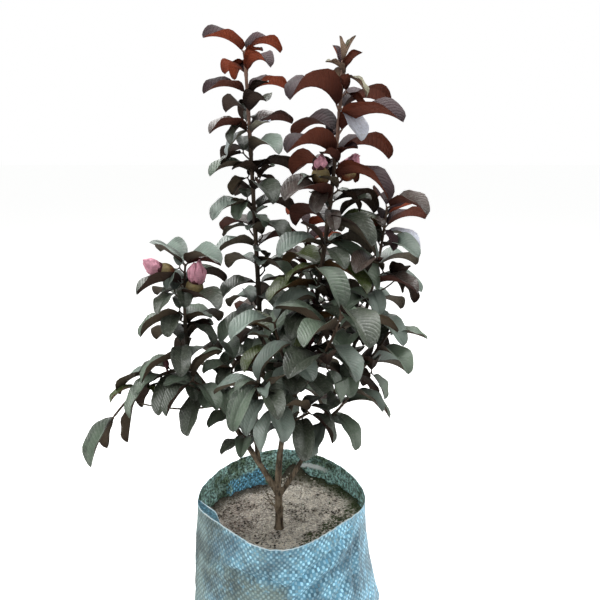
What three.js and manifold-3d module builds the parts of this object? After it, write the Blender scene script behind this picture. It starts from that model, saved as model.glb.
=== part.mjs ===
// A young guava tree growing in a cut-down woven sack of sandy soil.
// Millimetres, +Z up. The origin is the middle of the sack's flat underside,
// and -Y is the front. The trunk forks just above the soil into five thin
// boughs, and every mass of foliage grows from the tip or the side of a bough:
// one stem with pairs of opposite leaves, each pair turned a quarter turn from
// the pair below it, as a guava's leaves are.

import * as THREE from 'three';
import Module from 'manifold-3d';

const wasm = await Module();
wasm.setup();

// ---------------------------------------------------------------- dimensions

// Clearance between two neighbouring solids.
const GAP = 0.3;

// The sack, filled to the soil level.
const SACK_HEIGHT = 320;
const SACK_WALL = 2;
const SACK_SIDES = 24;
const RIM_BACK_RISE = 30;
const RIM_CORNER_RISE = 13;
const RIM_SIDE_RISE = 8;
const RIM_CORNER_PINCH = 11;
// Half width of the sack, and how far its middle sags to +X, at shares of its height.
const SACK_PROFILE = [
  { share: 0, radius: 154, sag: 4 },
  { share: 0.035, radius: 166, sag: 6 },
  { share: 0.14, radius: 174, sag: 9 },
  { share: 0.27, radius: 176, sag: 10 },
  { share: 0.42, radius: 170, sag: 7 },
  { share: 0.58, radius: 163, sag: 3 },
  { share: 0.72, radius: 156, sag: 1 },
  { share: 1, radius: 152, sag: 0 },
];

// The soil is level but for its back left part, which falls away. start is the distance of
// that fall from the trunk, and reach how far it goes on.
const SOIL_LEVEL = 290;
const SOIL_FALL = { depth: 20, start: 70, reach: 100 };
const SOIL_SIDE_GAP = 1.3;
// A level patch of soil round the foot of the trunk.
const TRUNK_FOOT = { x: -4, y: -42, patch: 22 };
// The trunk's foot is wider by this, up to a share of its length.
const ROOT_FLARE = { widening: 0.2, reach: 0.3 };

// A leaf's proportions: shares of its length, apart from the angles.
const LEAF_WIDTH = 0.54;
const LEAF_THICKNESS = 0.013;
const PETIOLE = 0.09;
const PETIOLE_RADIUS = 1.1;
const BLADE_ROUNDNESS = 0.62;
const LEAF_STATIONS = [0, 0.28, 0.63, 1];
const STEEPEST_FALL = -82;
const NEAR_UPRIGHT = 0.12;
// How far a full-grown leaf is folded along its midrib, at the foot and the tip of its stem.
const FOLD = [24, 44];
// Whole ranges of the small differences between leaves: angles in degrees, sizes as shares.
const LEAF_RANGE = { turn: 18, rise: 16, bend: 30, fold: 10, roll: 34, length: 0.28, width: 0.2 };
// Share of the leaves that are missing, and where the last pair stands on its stem.
const LOST_LEAVES = 0.05;
const LAST_PAIR = 0.99;
// The two youngest pairs at a growing tip are small, steep and folded shut.
const YOUNG_PAIRS = [
  { size: 0.36, rise: 74, bend: 16, fold: 64 },
  { size: 0.5, rise: 60, bend: 40, fold: 52 },
];
// The youngest two pairs stand closer than a whole internode.
const YOUNG_INTERNODE = 0.45;
// A leaf that would touch another limb or mass is turned by one of these.
const TURNS = [0, 15, -15, 30, -30];

const STEM_RADIUS = [3.1, 1.5];
const LEADER_RADIUS = [3.9, 2.2];

// A side twig sags by a share of its length and ends in one pair of leaves. Each twig
// stands at the golden angle from the one before.
const TWIG_RADIUS = [1.7, 1.1];
const TWIG_SAG = 0.16;
const TWIG_TURN = 137.5;
const TWIG_PAIR = { at: 0.97, turn: 0.6, rise: 38, bend: 66, fold: 24 };

// A blossom: round ovary and folded petals on a pedicel that stands off from the stem. A bud
// is a closed spindle. Each profile lists [share of the length, share of the radius].
const FLOWER = {
  length: 54,
  radius: 12.5,
  profile: [
    [0, 0.25], [0.12, 0.8], [0.28, 1], [0.45, 0.72], [0.55, 0.66], [0.74, 0.92], [0.92, 0.62], [1, 0.2],
  ],
};
const BUD = {
  length: 21,
  radius: 5.2,
  profile: [[0, 0.3], [0.35, 1], [0.7, 0.8], [1, 0.12]],
};
const PEDICEL = { rise: 9.6, off: 4, dip: 6, inside: 3 };
const USUAL_LEAN = 0.22;

// Each mass deals its leaves from a seed of its own.
const FIRST_SEED = 11;
const SEED_STEP = 97;

// Detail that the fused masses lose.
const SIMPLIFY = 0.05;

// Trunk and boughs. heading is the compass angle from +X towards +Y, climb the
// angle above level, both in degrees; bow is the shift of the limb's middle.
const LIMBS = [
  {
    name: 'trunk', heading: 180, climb: 89, length: 78, bow: [1, 0, 0], radius: [7.4, 6.2],
  },
  {
    name: 'centre_bough', on: 'trunk', at: 0.9, heading: -4, climb: 79, length: 216, bow: [-12, 0, 0],
    radius: [5.6, 3.8],
  },
  {
    name: 'left_bough', on: 'trunk', at: 0.85, heading: -175, climb: 59, length: 282, bow: [3, 0, 4],
    radius: [5.4, 3.3],
  },
  {
    name: 'right_bough', on: 'trunk', at: 0.8, heading: -2, climb: 64, length: 232, bow: [4, 0, -6],
    radius: [4.5, 3.3],
  },
  {
    name: 'back_bough', on: 'trunk', at: 0.9, heading: 86, climb: 53, length: 200, bow: [0, 0, -8],
    radius: [4.5, 3.3],
  },
  {
    name: 'left_leader_bough', on: 'left_bough', at: 0.24, heading: 87, climb: 69, length: 179,
    bow: [-8, -4, 0], radius: [4.4, 3.5],
  },
];

// Masses of foliage. pairs of leaves stand along the stem from the share first
// to the tip. size, rise and bend are [foot, tip]: leaf length in millimetres,
// angle of the petiole above square to the stem, and how far the blade curls
// down. twigs are short side twigs, and blooms stand in the axils of leaves.
const MASSES = [
  {
    name: 'left_leader', on: 'left_leader_bough', at: 1, heading: 159, climb: 87.4, length: 514,
    bow: [1, 0, 0], pairs: 17, first: 0.02, phase: 38, size: [92, 82], rise: [24, 46], bend: [92, 80],
    young: 0, radius: LEADER_RADIUS,
    twigs: { count: 7, from: 0.02, to: 0.75, length: 22, leaf: 50 },
  },
  {
    name: 'right_leader', on: 'centre_bough', at: 1, heading: 0, climb: 83, length: 506,
    bow: [9, 0, 0], pairs: 15, first: 0.02, phase: 38, size: [92, 120], rise: [28, 52], bend: [86, 96],
    young: 2, radius: LEADER_RADIUS,
    twigs: { count: 7, from: 0.05, to: 0.62, length: 34, leaf: 66 },
    blooms: [
      { at: 0.61, heading: -165, lean: 0.1, kind: FLOWER },
      { at: 0.63, heading: 25, lean: 0.9, kind: FLOWER },
      { at: 0.25, heading: -120, lean: USUAL_LEAN, kind: BUD },
      { at: 0.1, heading: -60, lean: USUAL_LEAN, kind: BUD },
    ],
  },
  {
    name: 'right_shoot', on: 'right_bough', at: 1, heading: 4, climb: 76, length: 304,
    bow: [12, 0, 0], pairs: 10, first: 0.05, phase: 38, size: [88, 84], rise: [30, 40], bend: [82, 74],
    young: 0,
    twigs: { count: 4, from: 0.05, to: 0.8, length: 36, leaf: 60 },
  },
  {
    name: 'left_flower_shoot', on: 'left_bough', at: 1, heading: 101, climb: 88, length: 166,
    bow: [-4, 0, 0], pairs: 6, first: 0.05, phase: 38, size: [96, 92], rise: [30, 40], bend: [90, 72],
    young: 0,
    twigs: { count: 2, from: 0.05, to: 0.8, length: 26, leaf: 56 },
    blooms: [
      { at: 0.64, heading: -28, lean: 0.3, kind: FLOWER },
      { at: 0.85, heading: -155, lean: 1.1, kind: FLOWER },
    ],
  },
  {
    name: 'far_left_shoot', on: 'left_bough', at: 0.96, heading: -176, climb: -30, length: 152,
    bow: [0, 0, 24], pairs: 4, first: 0.25, phase: 0, size: [72, 88], rise: [40, 55], bend: [84, 50],
    young: 0,
    blooms: [{ at: 0.3, heading: -100, lean: USUAL_LEAN, kind: BUD }],
  },
  {
    name: 'left_spur', on: 'left_bough', at: 0.69, heading: 0, climb: 70, length: 81,
    bow: [0, 0, 0], pairs: 4, first: 0.2, phase: 38, size: [76, 70], rise: [20, 40], bend: [66, 64],
    young: 0,
  },
  {
    name: 'left_under_shoot', on: 'left_bough', at: 0.79, heading: -119, climb: 37, length: 57,
    bow: [0, 0, 0], pairs: 3, first: 0.3, phase: 38, size: [76, 70], rise: [14, 30], bend: [62, 60],
    young: 0,
  },
  {
    name: 'low_spur', on: 'left_bough', at: 0.36, heading: -164, climb: 74, length: 81,
    bow: [0, 0, 0], pairs: 4, first: 0.15, phase: 38, size: [76, 72], rise: [26, 40], bend: [68, 62],
    young: 0,
  },
  {
    name: 'foot_spur', on: 'left_bough', at: 0.34, heading: -110, climb: 56, length: 40,
    bow: [0, 0, 0], pairs: 2, first: 0.6, phase: 10, size: [56, 58], rise: [44, 50], bend: [60, 60],
    young: 0,
  },
  {
    name: 'low_front_spur', on: 'centre_bough', at: 0.6, heading: -30, climb: 34, length: 56,
    bow: [0, 0, 0], pairs: 3, first: 0.4, phase: 20, size: [74, 76], rise: [24, 16], bend: [70, 62],
    young: 0,
  },
  {
    name: 'front_shoot', on: 'centre_bough', at: 0.7, heading: -116, climb: 39, length: 136,
    bow: [0, 0, -5], pairs: 5, first: 0.35, phase: 38, size: [76, 80], rise: [30, 40], bend: [74, 70],
    young: 0,
  },
  {
    name: 'low_right_shoot', on: 'right_bough', at: 0.68, heading: -31, climb: 50, length: 92,
    bow: [0, 0, -6], pairs: 4, first: 0.15, phase: 38, size: [76, 74], rise: [30, 40], bend: [76, 70],
    young: 0,
  },
  {
    name: 'mid_right_shoot', on: 'right_bough', at: 0.93, heading: -23, climb: 52, length: 147,
    bow: [0, 0, -10], pairs: 5, first: 0.2, phase: 38, size: [84, 88], rise: [30, 46], bend: [70, 70],
    young: 0,
  },
  {
    name: 'front_right_shoot', on: 'centre_bough', at: 0.87, heading: -58, climb: 52, length: 210,
    bow: [6, 0, -8], pairs: 6, first: 0.2, phase: 38, size: [98, 104], rise: [34, 44], bend: [72, 76],
    young: 0,
  },
  {
    name: 'centre_left_shoot', on: 'centre_bough', at: 0.92, heading: -129, climb: 65, length: 137,
    bow: [-6, 0, 0], pairs: 5, first: 0.15, phase: 38, size: [92, 88], rise: [34, 44], bend: [72, 76],
    young: 0,
    blooms: [{ at: 0.4, heading: -60, lean: USUAL_LEAN, kind: BUD }],
  },
  {
    name: 'back_shoot', on: 'back_bough', at: 1, heading: 53, climb: 75, length: 290,
    bow: [0, 10, 0], pairs: 10, first: 0.04, phase: 38, size: [86, 80], rise: [34, 50], bend: [80, 68],
    young: 0,
  },
  {
    name: 'back_left_shoot', on: 'back_bough', at: 0.76, heading: 122, climb: 61, length: 196,
    bow: [0, 0, -10], pairs: 6, first: 0.1, phase: 38, size: [84, 80], rise: [34, 44], bend: [76, 72],
    young: 0,
  },
  {
    name: 'back_right_shoot', on: 'back_bough', at: 0.89, heading: 7, climb: 60, length: 219,
    bow: [0, 0, -14], pairs: 7, first: 0.1, phase: 38, size: [86, 80], rise: [34, 44], bend: [76, 72],
    young: 0,
  },
];

const COLOURS = {
  sack: 0x82afc3,
  soil: 0xa19e91,
  bark: 0x584e3f,
  leaf: 0x56605a,
};

// ------------------------------------------------------------------- helpers

const radians = THREE.MathUtils.degToRad;
const UP = new THREE.Vector3(0, 0, 1);

// Even pseudo-random numbers from 0 to 1, the same for the same seed.
function dealer(seed) {
  const size = 2 ** 32;
  let state = seed;
  const deal = () => {
    state = (state * 1664525 + 1013904223) % size;
    return state / size;
  };
  for (let i = 0; i < 3; i += 1) {
    deal();
  }
  return deal;
}

// Value between the two ends of a range.
function between([from, to], share) {
  return from + (to - from) * share;
}

// A closed solid skinned over rings of equally many points; the last may be one point.
function loft(rings) {
  const points = [];
  const triangles = [];
  const count = rings[0].length;
  rings.flat().forEach((point) => points.push(point.x, point.y, point.z));
  const cap = (start, flip) => {
    for (let i = 1; i + 1 < count; i += 1) {
      triangles.push(start, start + i + (flip ? 1 : 0), start + i + (flip ? 0 : 1));
    }
  };
  for (let row = 0; row + 1 < rings.length; row += 1) {
    const low = row * count;
    const high = low + count;
    for (let i = 0; i < count; i += 1) {
      const next = (i + 1) % count;
      if (rings[row + 1].length === 1) {
        triangles.push(low + i, low + next, high);
      } else {
        triangles.push(low + i, low + next, high + next, low + i, high + next, high + i);
      }
    }
  }
  cap(0, true);
  if (rings.at(-1).length > 1) {
    cap((rings.length - 1) * count, false);
  }
  return solidOf(points, triangles);
}

// The manifold solid of a closed mesh, turned inside out where its faces point in.
function solidOf(points, triangles) {
  const corner = (index) => new THREE.Vector3().fromArray(points, index * 3);
  let volume = 0;
  for (let i = 0; i < triangles.length; i += 3) {
    const [a, b, c] = triangles.slice(i, i + 3).map(corner);
    volume += a.dot(b.cross(c));
  }
  const facing = volume > 0 ? triangles : triangles.toReversed();
  return new wasm.Manifold(new wasm.Mesh({
    numProp: 3,
    vertProperties: new Float32Array(points),
    triVerts: new Uint32Array(facing),
  }));
}

// The largest piece of a solid, with sealed hollows and loose scraps left out.
function mainPiece(solid) {
  return solid.decompose().reduce((best, piece) => (piece.volume() > best.volume() ? piece : best));
}

// A limb or stem as a curve: a straight line from its foot whose middle is shifted by bow.
function limbCurve(foot, { heading, climb, length, bow }) {
  const tip = new THREE.Vector3(
    Math.cos(radians(climb)) * Math.cos(radians(heading)),
    Math.cos(radians(climb)) * Math.sin(radians(heading)),
    Math.sin(radians(climb)),
  ).multiplyScalar(length).add(foot);
  const middle = foot.clone().add(tip).multiplyScalar(0.5).addScaledVector(new THREE.Vector3(...bow), 2);
  return new THREE.QuadraticBezierCurve3(foot.clone(), middle, tip);
}

// Two directions square to a stem: side lies to the right, and back looks to the back.
function crossAxes(along) {
  const back = new THREE.Vector3(0, 1, 0).addScaledVector(along, -along.y).normalize();
  return { side: back.clone().cross(along), back };
}

// The direction that leaves a stem squarely at an angle round it.
function outFrom(along, angle) {
  const { side, back } = crossAxes(along);
  return side.multiplyScalar(Math.cos(angle)).addScaledVector(back, Math.sin(angle));
}

// A round, tapering tube along a curve. radius is a function of the share of its length,
// reach lengthens both ends, and level cuts the foot level.
function tube(curve, radius, sides, steps, { reach = 0, level = false } = {}) {
  const rings = [];
  for (let step = 0; step <= steps; step += 1) {
    const share = step / steps;
    const along = curve.getTangent(share);
    const beyond = (step === steps ? reach : 0) - (step === 0 ? reach : 0);
    const centre = curve.getPoint(share).addScaledVector(along, beyond);
    rings.push(Array.from({ length: sides }, (_, i) => (
      outFrom(along, (2 * Math.PI * i) / sides).multiplyScalar(radius(share)).add(centre)
    )));
  }
  if (level) {
    rings[0].forEach((point) => point.setZ(curve.getPoint(0).z));
  }
  return loft(rings);
}

// ---------------------------------------------------------------- sack, soil

// How near an angle is to a front corner of the sack, from 0 to 1.
function frontCorner(angle) {
  return Math.sin(angle) < 0 ? Math.sin(2 * angle) ** 2 : 0;
}

// Height of the sack's rim: high at the back, at both sides and at the two front corners.
function rimHeight(angle) {
  const back = Math.max(0, Math.sin(angle)) ** 1.5;
  const side = Math.cos(angle) ** 6;
  return SACK_HEIGHT + RIM_BACK_RISE * back + RIM_CORNER_RISE * frontCorner(angle) + RIM_SIDE_RISE * side;
}

// Outline of the sack at a share of its height, drawn in by inset.
function sackRing(share, inset) {
  const index = Math.max(1, SACK_PROFILE.findIndex((row) => row.share >= share));
  const [low, high] = [SACK_PROFILE[index - 1], SACK_PROFILE[index]];
  const mix = (share - low.share) / (high.share - low.share);
  return Array.from({ length: SACK_SIDES }, (_, i) => {
    const angle = (2 * Math.PI * i) / SACK_SIDES;
    const pinch = RIM_CORNER_PINCH * frontCorner(angle) * share ** 3;
    const radius = between([low.radius, high.radius], mix) - pinch - inset;
    const x = radius * Math.cos(angle) + between([low.sag, high.sag], mix);
    return new THREE.Vector3(x, radius * Math.sin(angle), rimHeight(angle) * share);
  });
}

function soilHeight(x, y) {
  const backLeft = (y - TRUNK_FOOT.y - (x - TRUNK_FOOT.x)) / Math.SQRT2;
  const fallen = THREE.MathUtils.clamp((backLeft - SOIL_FALL.start) / SOIL_FALL.reach, 0, 1);
  return SOIL_LEVEL - SOIL_FALL.depth * fallen;
}

function buildSack() {
  const shares = SACK_PROFILE.map((row) => row.share);
  const outer = shares.map((share) => sackRing(share, 0));
  const inner = shares.slice(1).toReversed().map((share) => sackRing(share, SACK_WALL));
  const floor = sackRing(0, SACK_WALL).map((point) => point.setZ(SACK_WALL));
  return loft([...outer, ...inner, floor]);
}

// The soil fills the sack to a surface that meets the wall between its two highest outlines.
function buildSoil() {
  const inset = SACK_WALL + SOIL_SIDE_GAP;
  const shares = SACK_PROFILE.map((row) => row.share).slice(1, -1);
  const foot = sackRing(0, inset).map((point) => point.setZ(SACK_WALL + GAP));
  const walls = shares.map((share) => sackRing(share, inset));
  const rim = sackRing(1, inset);
  const brim = walls.at(-1).map((low, i) => {
    const rise = (soilHeight(low.x, low.y) - low.z) / (rim[i].z - low.z);
    return low.clone().lerp(rim[i], rise);
  });
  const patchCentre = new THREE.Vector3(TRUNK_FOOT.x, TRUNK_FOOT.y, SOIL_LEVEL);
  const patch = Array.from({ length: SACK_SIDES }, (_, i) => {
    const angle = (2 * Math.PI * i) / SACK_SIDES;
    const out = new THREE.Vector3(Math.cos(angle), Math.sin(angle), 0);
    return out.multiplyScalar(TRUNK_FOOT.patch).add(patchCentre);
  });
  const halfWay = patch.map((near, i) => {
    const point = near.clone().lerp(brim[i], 0.5);
    return point.setZ(soilHeight(point.x, point.y));
  });
  return loft([patch, halfWay, brim, ...walls.toReversed(), foot]);
}

// -------------------------------------------------------------------- limbs

function limbRadius(limb, grow) {
  const widening = limb.on ? 0 : ROOT_FLARE.widening;
  const flare = (share) => 1 + widening * Math.max(0, 1 - share / ROOT_FLARE.reach) ** 2;
  return (share) => between(limb.radius, share) * flare(share) + grow;
}

// A bough starts inside the limb that carries it and is cut back to just clear of it.
function buildLimb(limb, limbs) {
  const carrier = limbs.find((other) => other.name === limb.on);
  const foot = carrier
    ? carrier.curve.getPoint(limb.at)
    : new THREE.Vector3(TRUNK_FOOT.x, TRUNK_FOOT.y, SOIL_LEVEL + GAP);
  const curve = limbCurve(foot, limb);
  const sides = carrier ? 7 : 10;
  const steps = carrier ? 5 : 6;
  const fat = tube(curve, limbRadius(limb, GAP), sides, steps, { reach: GAP });
  const body = tube(curve, limbRadius(limb, 0), sides, steps, { level: !carrier });
  const solid = mainPiece(limbs.reduce((rest, other) => rest.subtract(other.fat), body));
  return { ...limb, curve, fat, solid };
}

// ------------------------------------------------------------------- foliage

// Half width of the blade at a share of the leaf's length, as a share of its greatest.
function bladeOutline(share) {
  const along = (share - PETIOLE) / (1 - PETIOLE);
  return along <= 0 ? 0 : Math.sin(Math.PI * along) ** BLADE_ROUNDNESS;
}

// One leaf: a folded blade on a short petiole that rises from the stem and curls over.
function leafSolid({ root, heading, start, bend, length, width, fold, roll }) {
  const level = new THREE.Vector3(Math.cos(heading), Math.sin(heading), 0);
  const side = UP.clone().cross(level);
  const finish = Math.max(start - bend, radians(STEEPEST_FALL));
  const point = root.clone();
  const rings = [];
  LEAF_STATIONS.forEach((share, station) => {
    if (station > 0) {
      const last = LEAF_STATIONS[station - 1];
      const climb = between([start, finish], (last + share) / 2);
      point.addScaledVector(level, Math.cos(climb) * (share - last) * length);
      point.addScaledVector(UP, Math.sin(climb) * (share - last) * length);
    }
    if (share === 1) {
      rings.push([point.clone()]);
      return;
    }
    const climb = between([start, finish], share);
    const face = level.clone().multiplyScalar(-Math.sin(climb)).addScaledVector(UP, Math.cos(climb));
    const across = side.clone().multiplyScalar(Math.cos(roll)).addScaledVector(face, Math.sin(roll));
    const above = face.multiplyScalar(Math.cos(roll)).addScaledVector(side, -Math.sin(roll));
    const half = Math.max(PETIOLE_RADIUS, (width / 2) * bladeOutline(share));
    const lift = share > PETIOLE ? half * Math.sin(fold) : 0;
    const reach = share > PETIOLE ? half * Math.cos(fold) : half;
    const thick = share > PETIOLE ? (length * LEAF_THICKNESS) / 2 : PETIOLE_RADIUS;
    rings.push([
      point.clone().addScaledVector(across, reach).addScaledVector(above, lift),
      point.clone().addScaledVector(above, thick),
      point.clone().addScaledVector(across, -reach).addScaledVector(above, lift),
      point.clone().addScaledVector(above, -thick),
    ]);
  });
  return loft(rings);
}

// Heading and climb of a petiole that leaves a stem at an angle round it. One that stands
// almost upright takes its heading from its side of the stem.
function leafStart(along, angle, rise) {
  const out = outFrom(along, angle);
  const way = out.clone().multiplyScalar(Math.cos(rise)).addScaledVector(along, Math.sin(rise)).normalize();
  const flat = Math.hypot(way.x, way.y) > NEAR_UPRIGHT ? way : out;
  return { heading: Math.atan2(flat.y, flat.x), start: Math.asin(THREE.MathUtils.clamp(way.z, -1, 1)) };
}

// The two leaves of a pair, each with its own small differences.
function leafPair(deal, { curve, at, angle, size, rise, bend, fold, gaps }) {
  const along = curve.getTangent(at);
  return [0, Math.PI].flatMap((side) => {
    const luck = Array.from({ length: 6 }, deal);
    if (luck[5] < gaps) {
      return [];
    }
    return [{
      root: curve.getPoint(at),
      along,
      angle: angle + side,
      rise: radians(rise + LEAF_RANGE.rise * (luck[0] - 0.5)),
      bend: radians(bend + LEAF_RANGE.bend * (luck[1] - 0.5)),
      length: size * (1 + LEAF_RANGE.length * (luck[2] - 0.5)),
      width: size * LEAF_WIDTH * (1 + LEAF_RANGE.width * (luck[3] - 0.5)),
      fold: radians(fold + LEAF_RANGE.fold * (luck[4] - 0.5)),
      roll: radians(LEAF_RANGE.roll * (luck[4] - 0.5)),
    }];
  });
}

// The curve of a short side twig that sags a little.
function sideTwig(foot, way, length) {
  const tip = foot.clone().addScaledVector(way, length);
  const middle = foot.clone().add(tip).multiplyScalar(0.5).addScaledVector(UP, -TWIG_SAG * length);
  return new THREE.QuadraticBezierCurve3(foot, middle, tip);
}

// All leaves and side twigs of a mass, as they would grow with nothing in their way.
function growth(mass, curve, seed) {
  const deal = dealer(seed);
  const leaves = [];
  const twigs = [];
  const last = mass.pairs - 1;
  for (let node = 0; node <= last; node += 1) {
    const age = last - node;
    const place = age === 1 && mass.young > 1 ? last - YOUNG_INTERNODE : node;
    const share = node / last;
    const angle = radians(mass.phase + node * 90 + LEAF_RANGE.turn * (deal() - 0.5));
    const young = age < mass.young ? YOUNG_PAIRS[age] : null;
    leaves.push(...leafPair(deal, {
      curve,
      at: between([mass.first, LAST_PAIR], place / last),
      angle,
      size: between(mass.size, share) * (young ? young.size : 1),
      rise: young ? young.rise : between(mass.rise, share),
      bend: young ? young.bend : between(mass.bend, share),
      fold: young ? young.fold : between(FOLD, share),
      gaps: age === 0 ? 0 : LOST_LEAVES,
    }));
  }
  const rule = mass.twigs ?? { count: 0 };
  for (let twig = 0; twig < rule.count; twig += 1) {
    const luck = [deal(), deal(), deal()];
    const at = between([rule.from, rule.to], (twig + luck[0] * 0.8) / rule.count);
    const angle = radians(mass.phase + 45 + twig * TWIG_TURN);
    const along = curve.getTangent(at);
    const way = outFrom(along, angle).add(along).normalize();
    const twigCurve = sideTwig(curve.getPoint(at), way, rule.length * (0.8 + 0.5 * luck[1]));
    const pair = leafPair(deal, {
      ...TWIG_PAIR, curve: twigCurve, angle: angle + TWIG_PAIR.turn, size: rule.leaf, gaps: 0,
    });
    twigs.push({ curve: twigCurve, leaves: pair });
  }
  return { leaves, twigs };
}

// A blossom or bud on a pedicel in a leaf's axil, that leans out from upright.
function bloomSolid({ at, heading, lean, kind }, curve) {
  const foot = curve.getPoint(at);
  const out = new THREE.Vector3(Math.cos(radians(heading)), Math.sin(radians(heading)), 0);
  const base = foot.clone()
    .addScaledVector(out, kind.radius + PEDICEL.off)
    .addScaledVector(UP, PEDICEL.rise);
  const way = out.clone().multiplyScalar(lean).add(UP).normalize();
  const stalk = new THREE.QuadraticBezierCurve3(
    foot,
    base.clone().addScaledVector(UP, -PEDICEL.dip),
    base.clone().addScaledVector(way, PEDICEL.inside),
  );
  const rings = kind.profile.map(([share, width]) => Array.from({ length: 6 }, (_, i) => (
    outFrom(way, (Math.PI * i) / 3)
      .multiplyScalar(kind.radius * width)
      .addScaledVector(way, kind.length * share)
      .add(base)
  )));
  return loft(rings).add(tube(stalk, () => TWIG_RADIUS[0], 4, 3));
}

// Whether a solid keeps the gap to every solid in a list.
function isClear(solid, others) {
  const box = solid.boundingBox();
  return others.every((other) => {
    const wide = other.boundingBox();
    const apart = [0, 1, 2].some((k) => box.min[k] > wide.max[k] + 1 || wide.min[k] > box.max[k] + 1);
    return apart || solid.minGap(other, 1) >= GAP;
  });
}

// The leaf as it grows, or turned a little, or nothing where each way touches another solid.
function placeLeaf(leaf, others) {
  for (const turn of TURNS) {
    const start = leafStart(leaf.along, leaf.angle + radians(turn), leaf.rise);
    const placed = leafSolid({ ...leaf, ...start });
    if (isClear(placed, others)) {
      return [placed];
    }
  }
  return [];
}

// The stem of a mass, cut back to just clear of the bough that carries it.
function buildStem(mass, limbs) {
  const carrier = limbs.find((limb) => limb.name === mass.on);
  const curve = limbCurve(carrier.curve.getPoint(mass.at), mass);
  const taper = (share) => between(mass.radius ?? STEM_RADIUS, share);
  const stem = tube(curve, taper, 5, Math.max(3, Math.round(mass.length / 60)));
  return { curve, solid: mainPiece(limbs.reduce((rest, limb) => rest.subtract(limb.fat), stem)) };
}

// One mass: stem, side twigs, leaves and blossom fused into one solid.
function buildMass(mass, stem, seed, others) {
  const { curve } = stem;
  const twigTaper = (share) => between(TWIG_RADIUS, share);
  const pieces = [stem.solid];
  const { leaves, twigs } = growth(mass, curve, seed);
  leaves.forEach((leaf) => pieces.push(...placeLeaf(leaf, others)));
  twigs.forEach((twig) => {
    const wood = tube(twig.curve, twigTaper, 3, 2);
    if (isClear(wood, others)) {
      pieces.push(wood);
      twig.leaves.forEach((leaf) => pieces.push(...placeLeaf(leaf, others)));
    }
  });
  (mass.blooms ?? []).map((bloom) => bloomSolid(bloom, curve)).forEach((bloom) => {
    if (isClear(bloom, others)) {
      pieces.push(bloom);
    }
  });
  return mainPiece(wasm.Manifold.union(pieces).simplify(SIMPLIFY));
}

// ------------------------------------------------------------------ assembly

function addPart(group, name, solid, colour) {
  const mesh = solid.getMesh();
  const geometry = new THREE.BufferGeometry();
  geometry.setAttribute('position', new THREE.Float32BufferAttribute(mesh.vertProperties, 3));
  geometry.setIndex([...mesh.triVerts]);
  const material = new THREE.MeshStandardMaterial({ color: colour, roughness: 0.85, metalness: 0 });
  const part = new THREE.Mesh(geometry, material);
  part.name = name;
  group.add(part);
}

function buildTree() {
  const group = new THREE.Group();
  const sack = buildSack();
  const soil = buildSoil();
  addPart(group, 'sack', sack, COLOURS.sack);
  addPart(group, 'soil', soil, COLOURS.soil);
  const limbs = LIMBS.reduce((built, limb) => [...built, buildLimb(limb, built)], []);
  limbs.forEach((limb) => addPart(group, limb.name, limb.solid, COLOURS.bark));
  const placed = [sack, soil, ...limbs.map((limb) => limb.solid)];
  const stems = MASSES.map((mass) => buildStem(mass, limbs));
  MASSES.forEach((mass, index) => {
    const laterStems = stems.slice(index + 1).map((stem) => stem.solid);
    const seed = FIRST_SEED + SEED_STEP * index;
    const solid = buildMass(mass, stems[index], seed, [...placed, ...laterStems]);
    placed.push(solid);
    addPart(group, mass.name, solid, COLOURS.leaf);
  });
  return group;
}

export default buildTree();
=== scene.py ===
"""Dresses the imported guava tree: woven sack, soil, bark, leaves, twigs, blossom and the stage."""

import itertools
import math

import bmesh
import bpy
import numpy as np
from bpy.props import FloatProperty, FloatVectorProperty, IntProperty, PointerProperty
from mathutils import Matrix, Vector, noise
from mathutils.kdtree import KDTree


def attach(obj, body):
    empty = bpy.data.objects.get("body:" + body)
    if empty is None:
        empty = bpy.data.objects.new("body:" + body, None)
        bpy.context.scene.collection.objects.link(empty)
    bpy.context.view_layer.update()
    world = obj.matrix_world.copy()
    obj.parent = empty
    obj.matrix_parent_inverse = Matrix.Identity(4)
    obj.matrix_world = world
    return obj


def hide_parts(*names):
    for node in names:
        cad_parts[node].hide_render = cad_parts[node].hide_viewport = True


bl_info = {
    "name": "Potted guava tree",
    "version": (1, 0, 0),
    "blender": (4, 5, 0),
    "location": "3D View > Sidebar > Guava",
    "description": "Builds the looks of a young guava tree in a woven sack around its CAD frame",
    "category": "Add Mesh",
}

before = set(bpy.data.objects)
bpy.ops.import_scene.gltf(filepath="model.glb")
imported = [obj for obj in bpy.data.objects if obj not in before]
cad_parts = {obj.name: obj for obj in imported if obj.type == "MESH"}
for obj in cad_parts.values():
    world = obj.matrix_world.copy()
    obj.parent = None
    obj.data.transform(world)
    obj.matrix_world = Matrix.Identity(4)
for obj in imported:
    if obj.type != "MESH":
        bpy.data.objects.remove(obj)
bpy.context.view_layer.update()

# --- dimensions
# Lengths are in millimetres, as in the CAD source, and a mesh is made in metres.
MM = 0.001
UP = np.array([0.0, 0.0, 1.0])

# Half width of the sack, and how far its middle sags to +X, at shares of its height.
SACK_SHARES = (0, 0.035, 0.14, 0.27, 0.42, 0.58, 0.72, 1)
SACK_RADII = (154, 166, 174, 176, 170, 163, 156, 152)
SACK_SAGS = (4, 6, 9, 10, 7, 3, 1, 0)
# How far the rim rises at the back, at its two front corners and at its sides, and how far the
# corners are drawn in.
RIM_BACK_RISE = 30
RIM_CORNER_RISE = 13
RIM_SIDE_RISE = 8
RIM_CORNER_PINCH = 11
# Bulges of the cloth: depth, and fineness of the noise round and up the sack.
SACK_BULGES = ((2.6, 3.2, 0.011), (0.9, 9, 0.035))
# The cloth folded over the rim: headings between which it lies, how far inward and up its free
# corner reaches, its sag and the thickness of the sheet.
PLEAT = {"headings": (182, 224), "inward": 36, "up": 3, "sag": 5, "thickness": 0.8}

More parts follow.
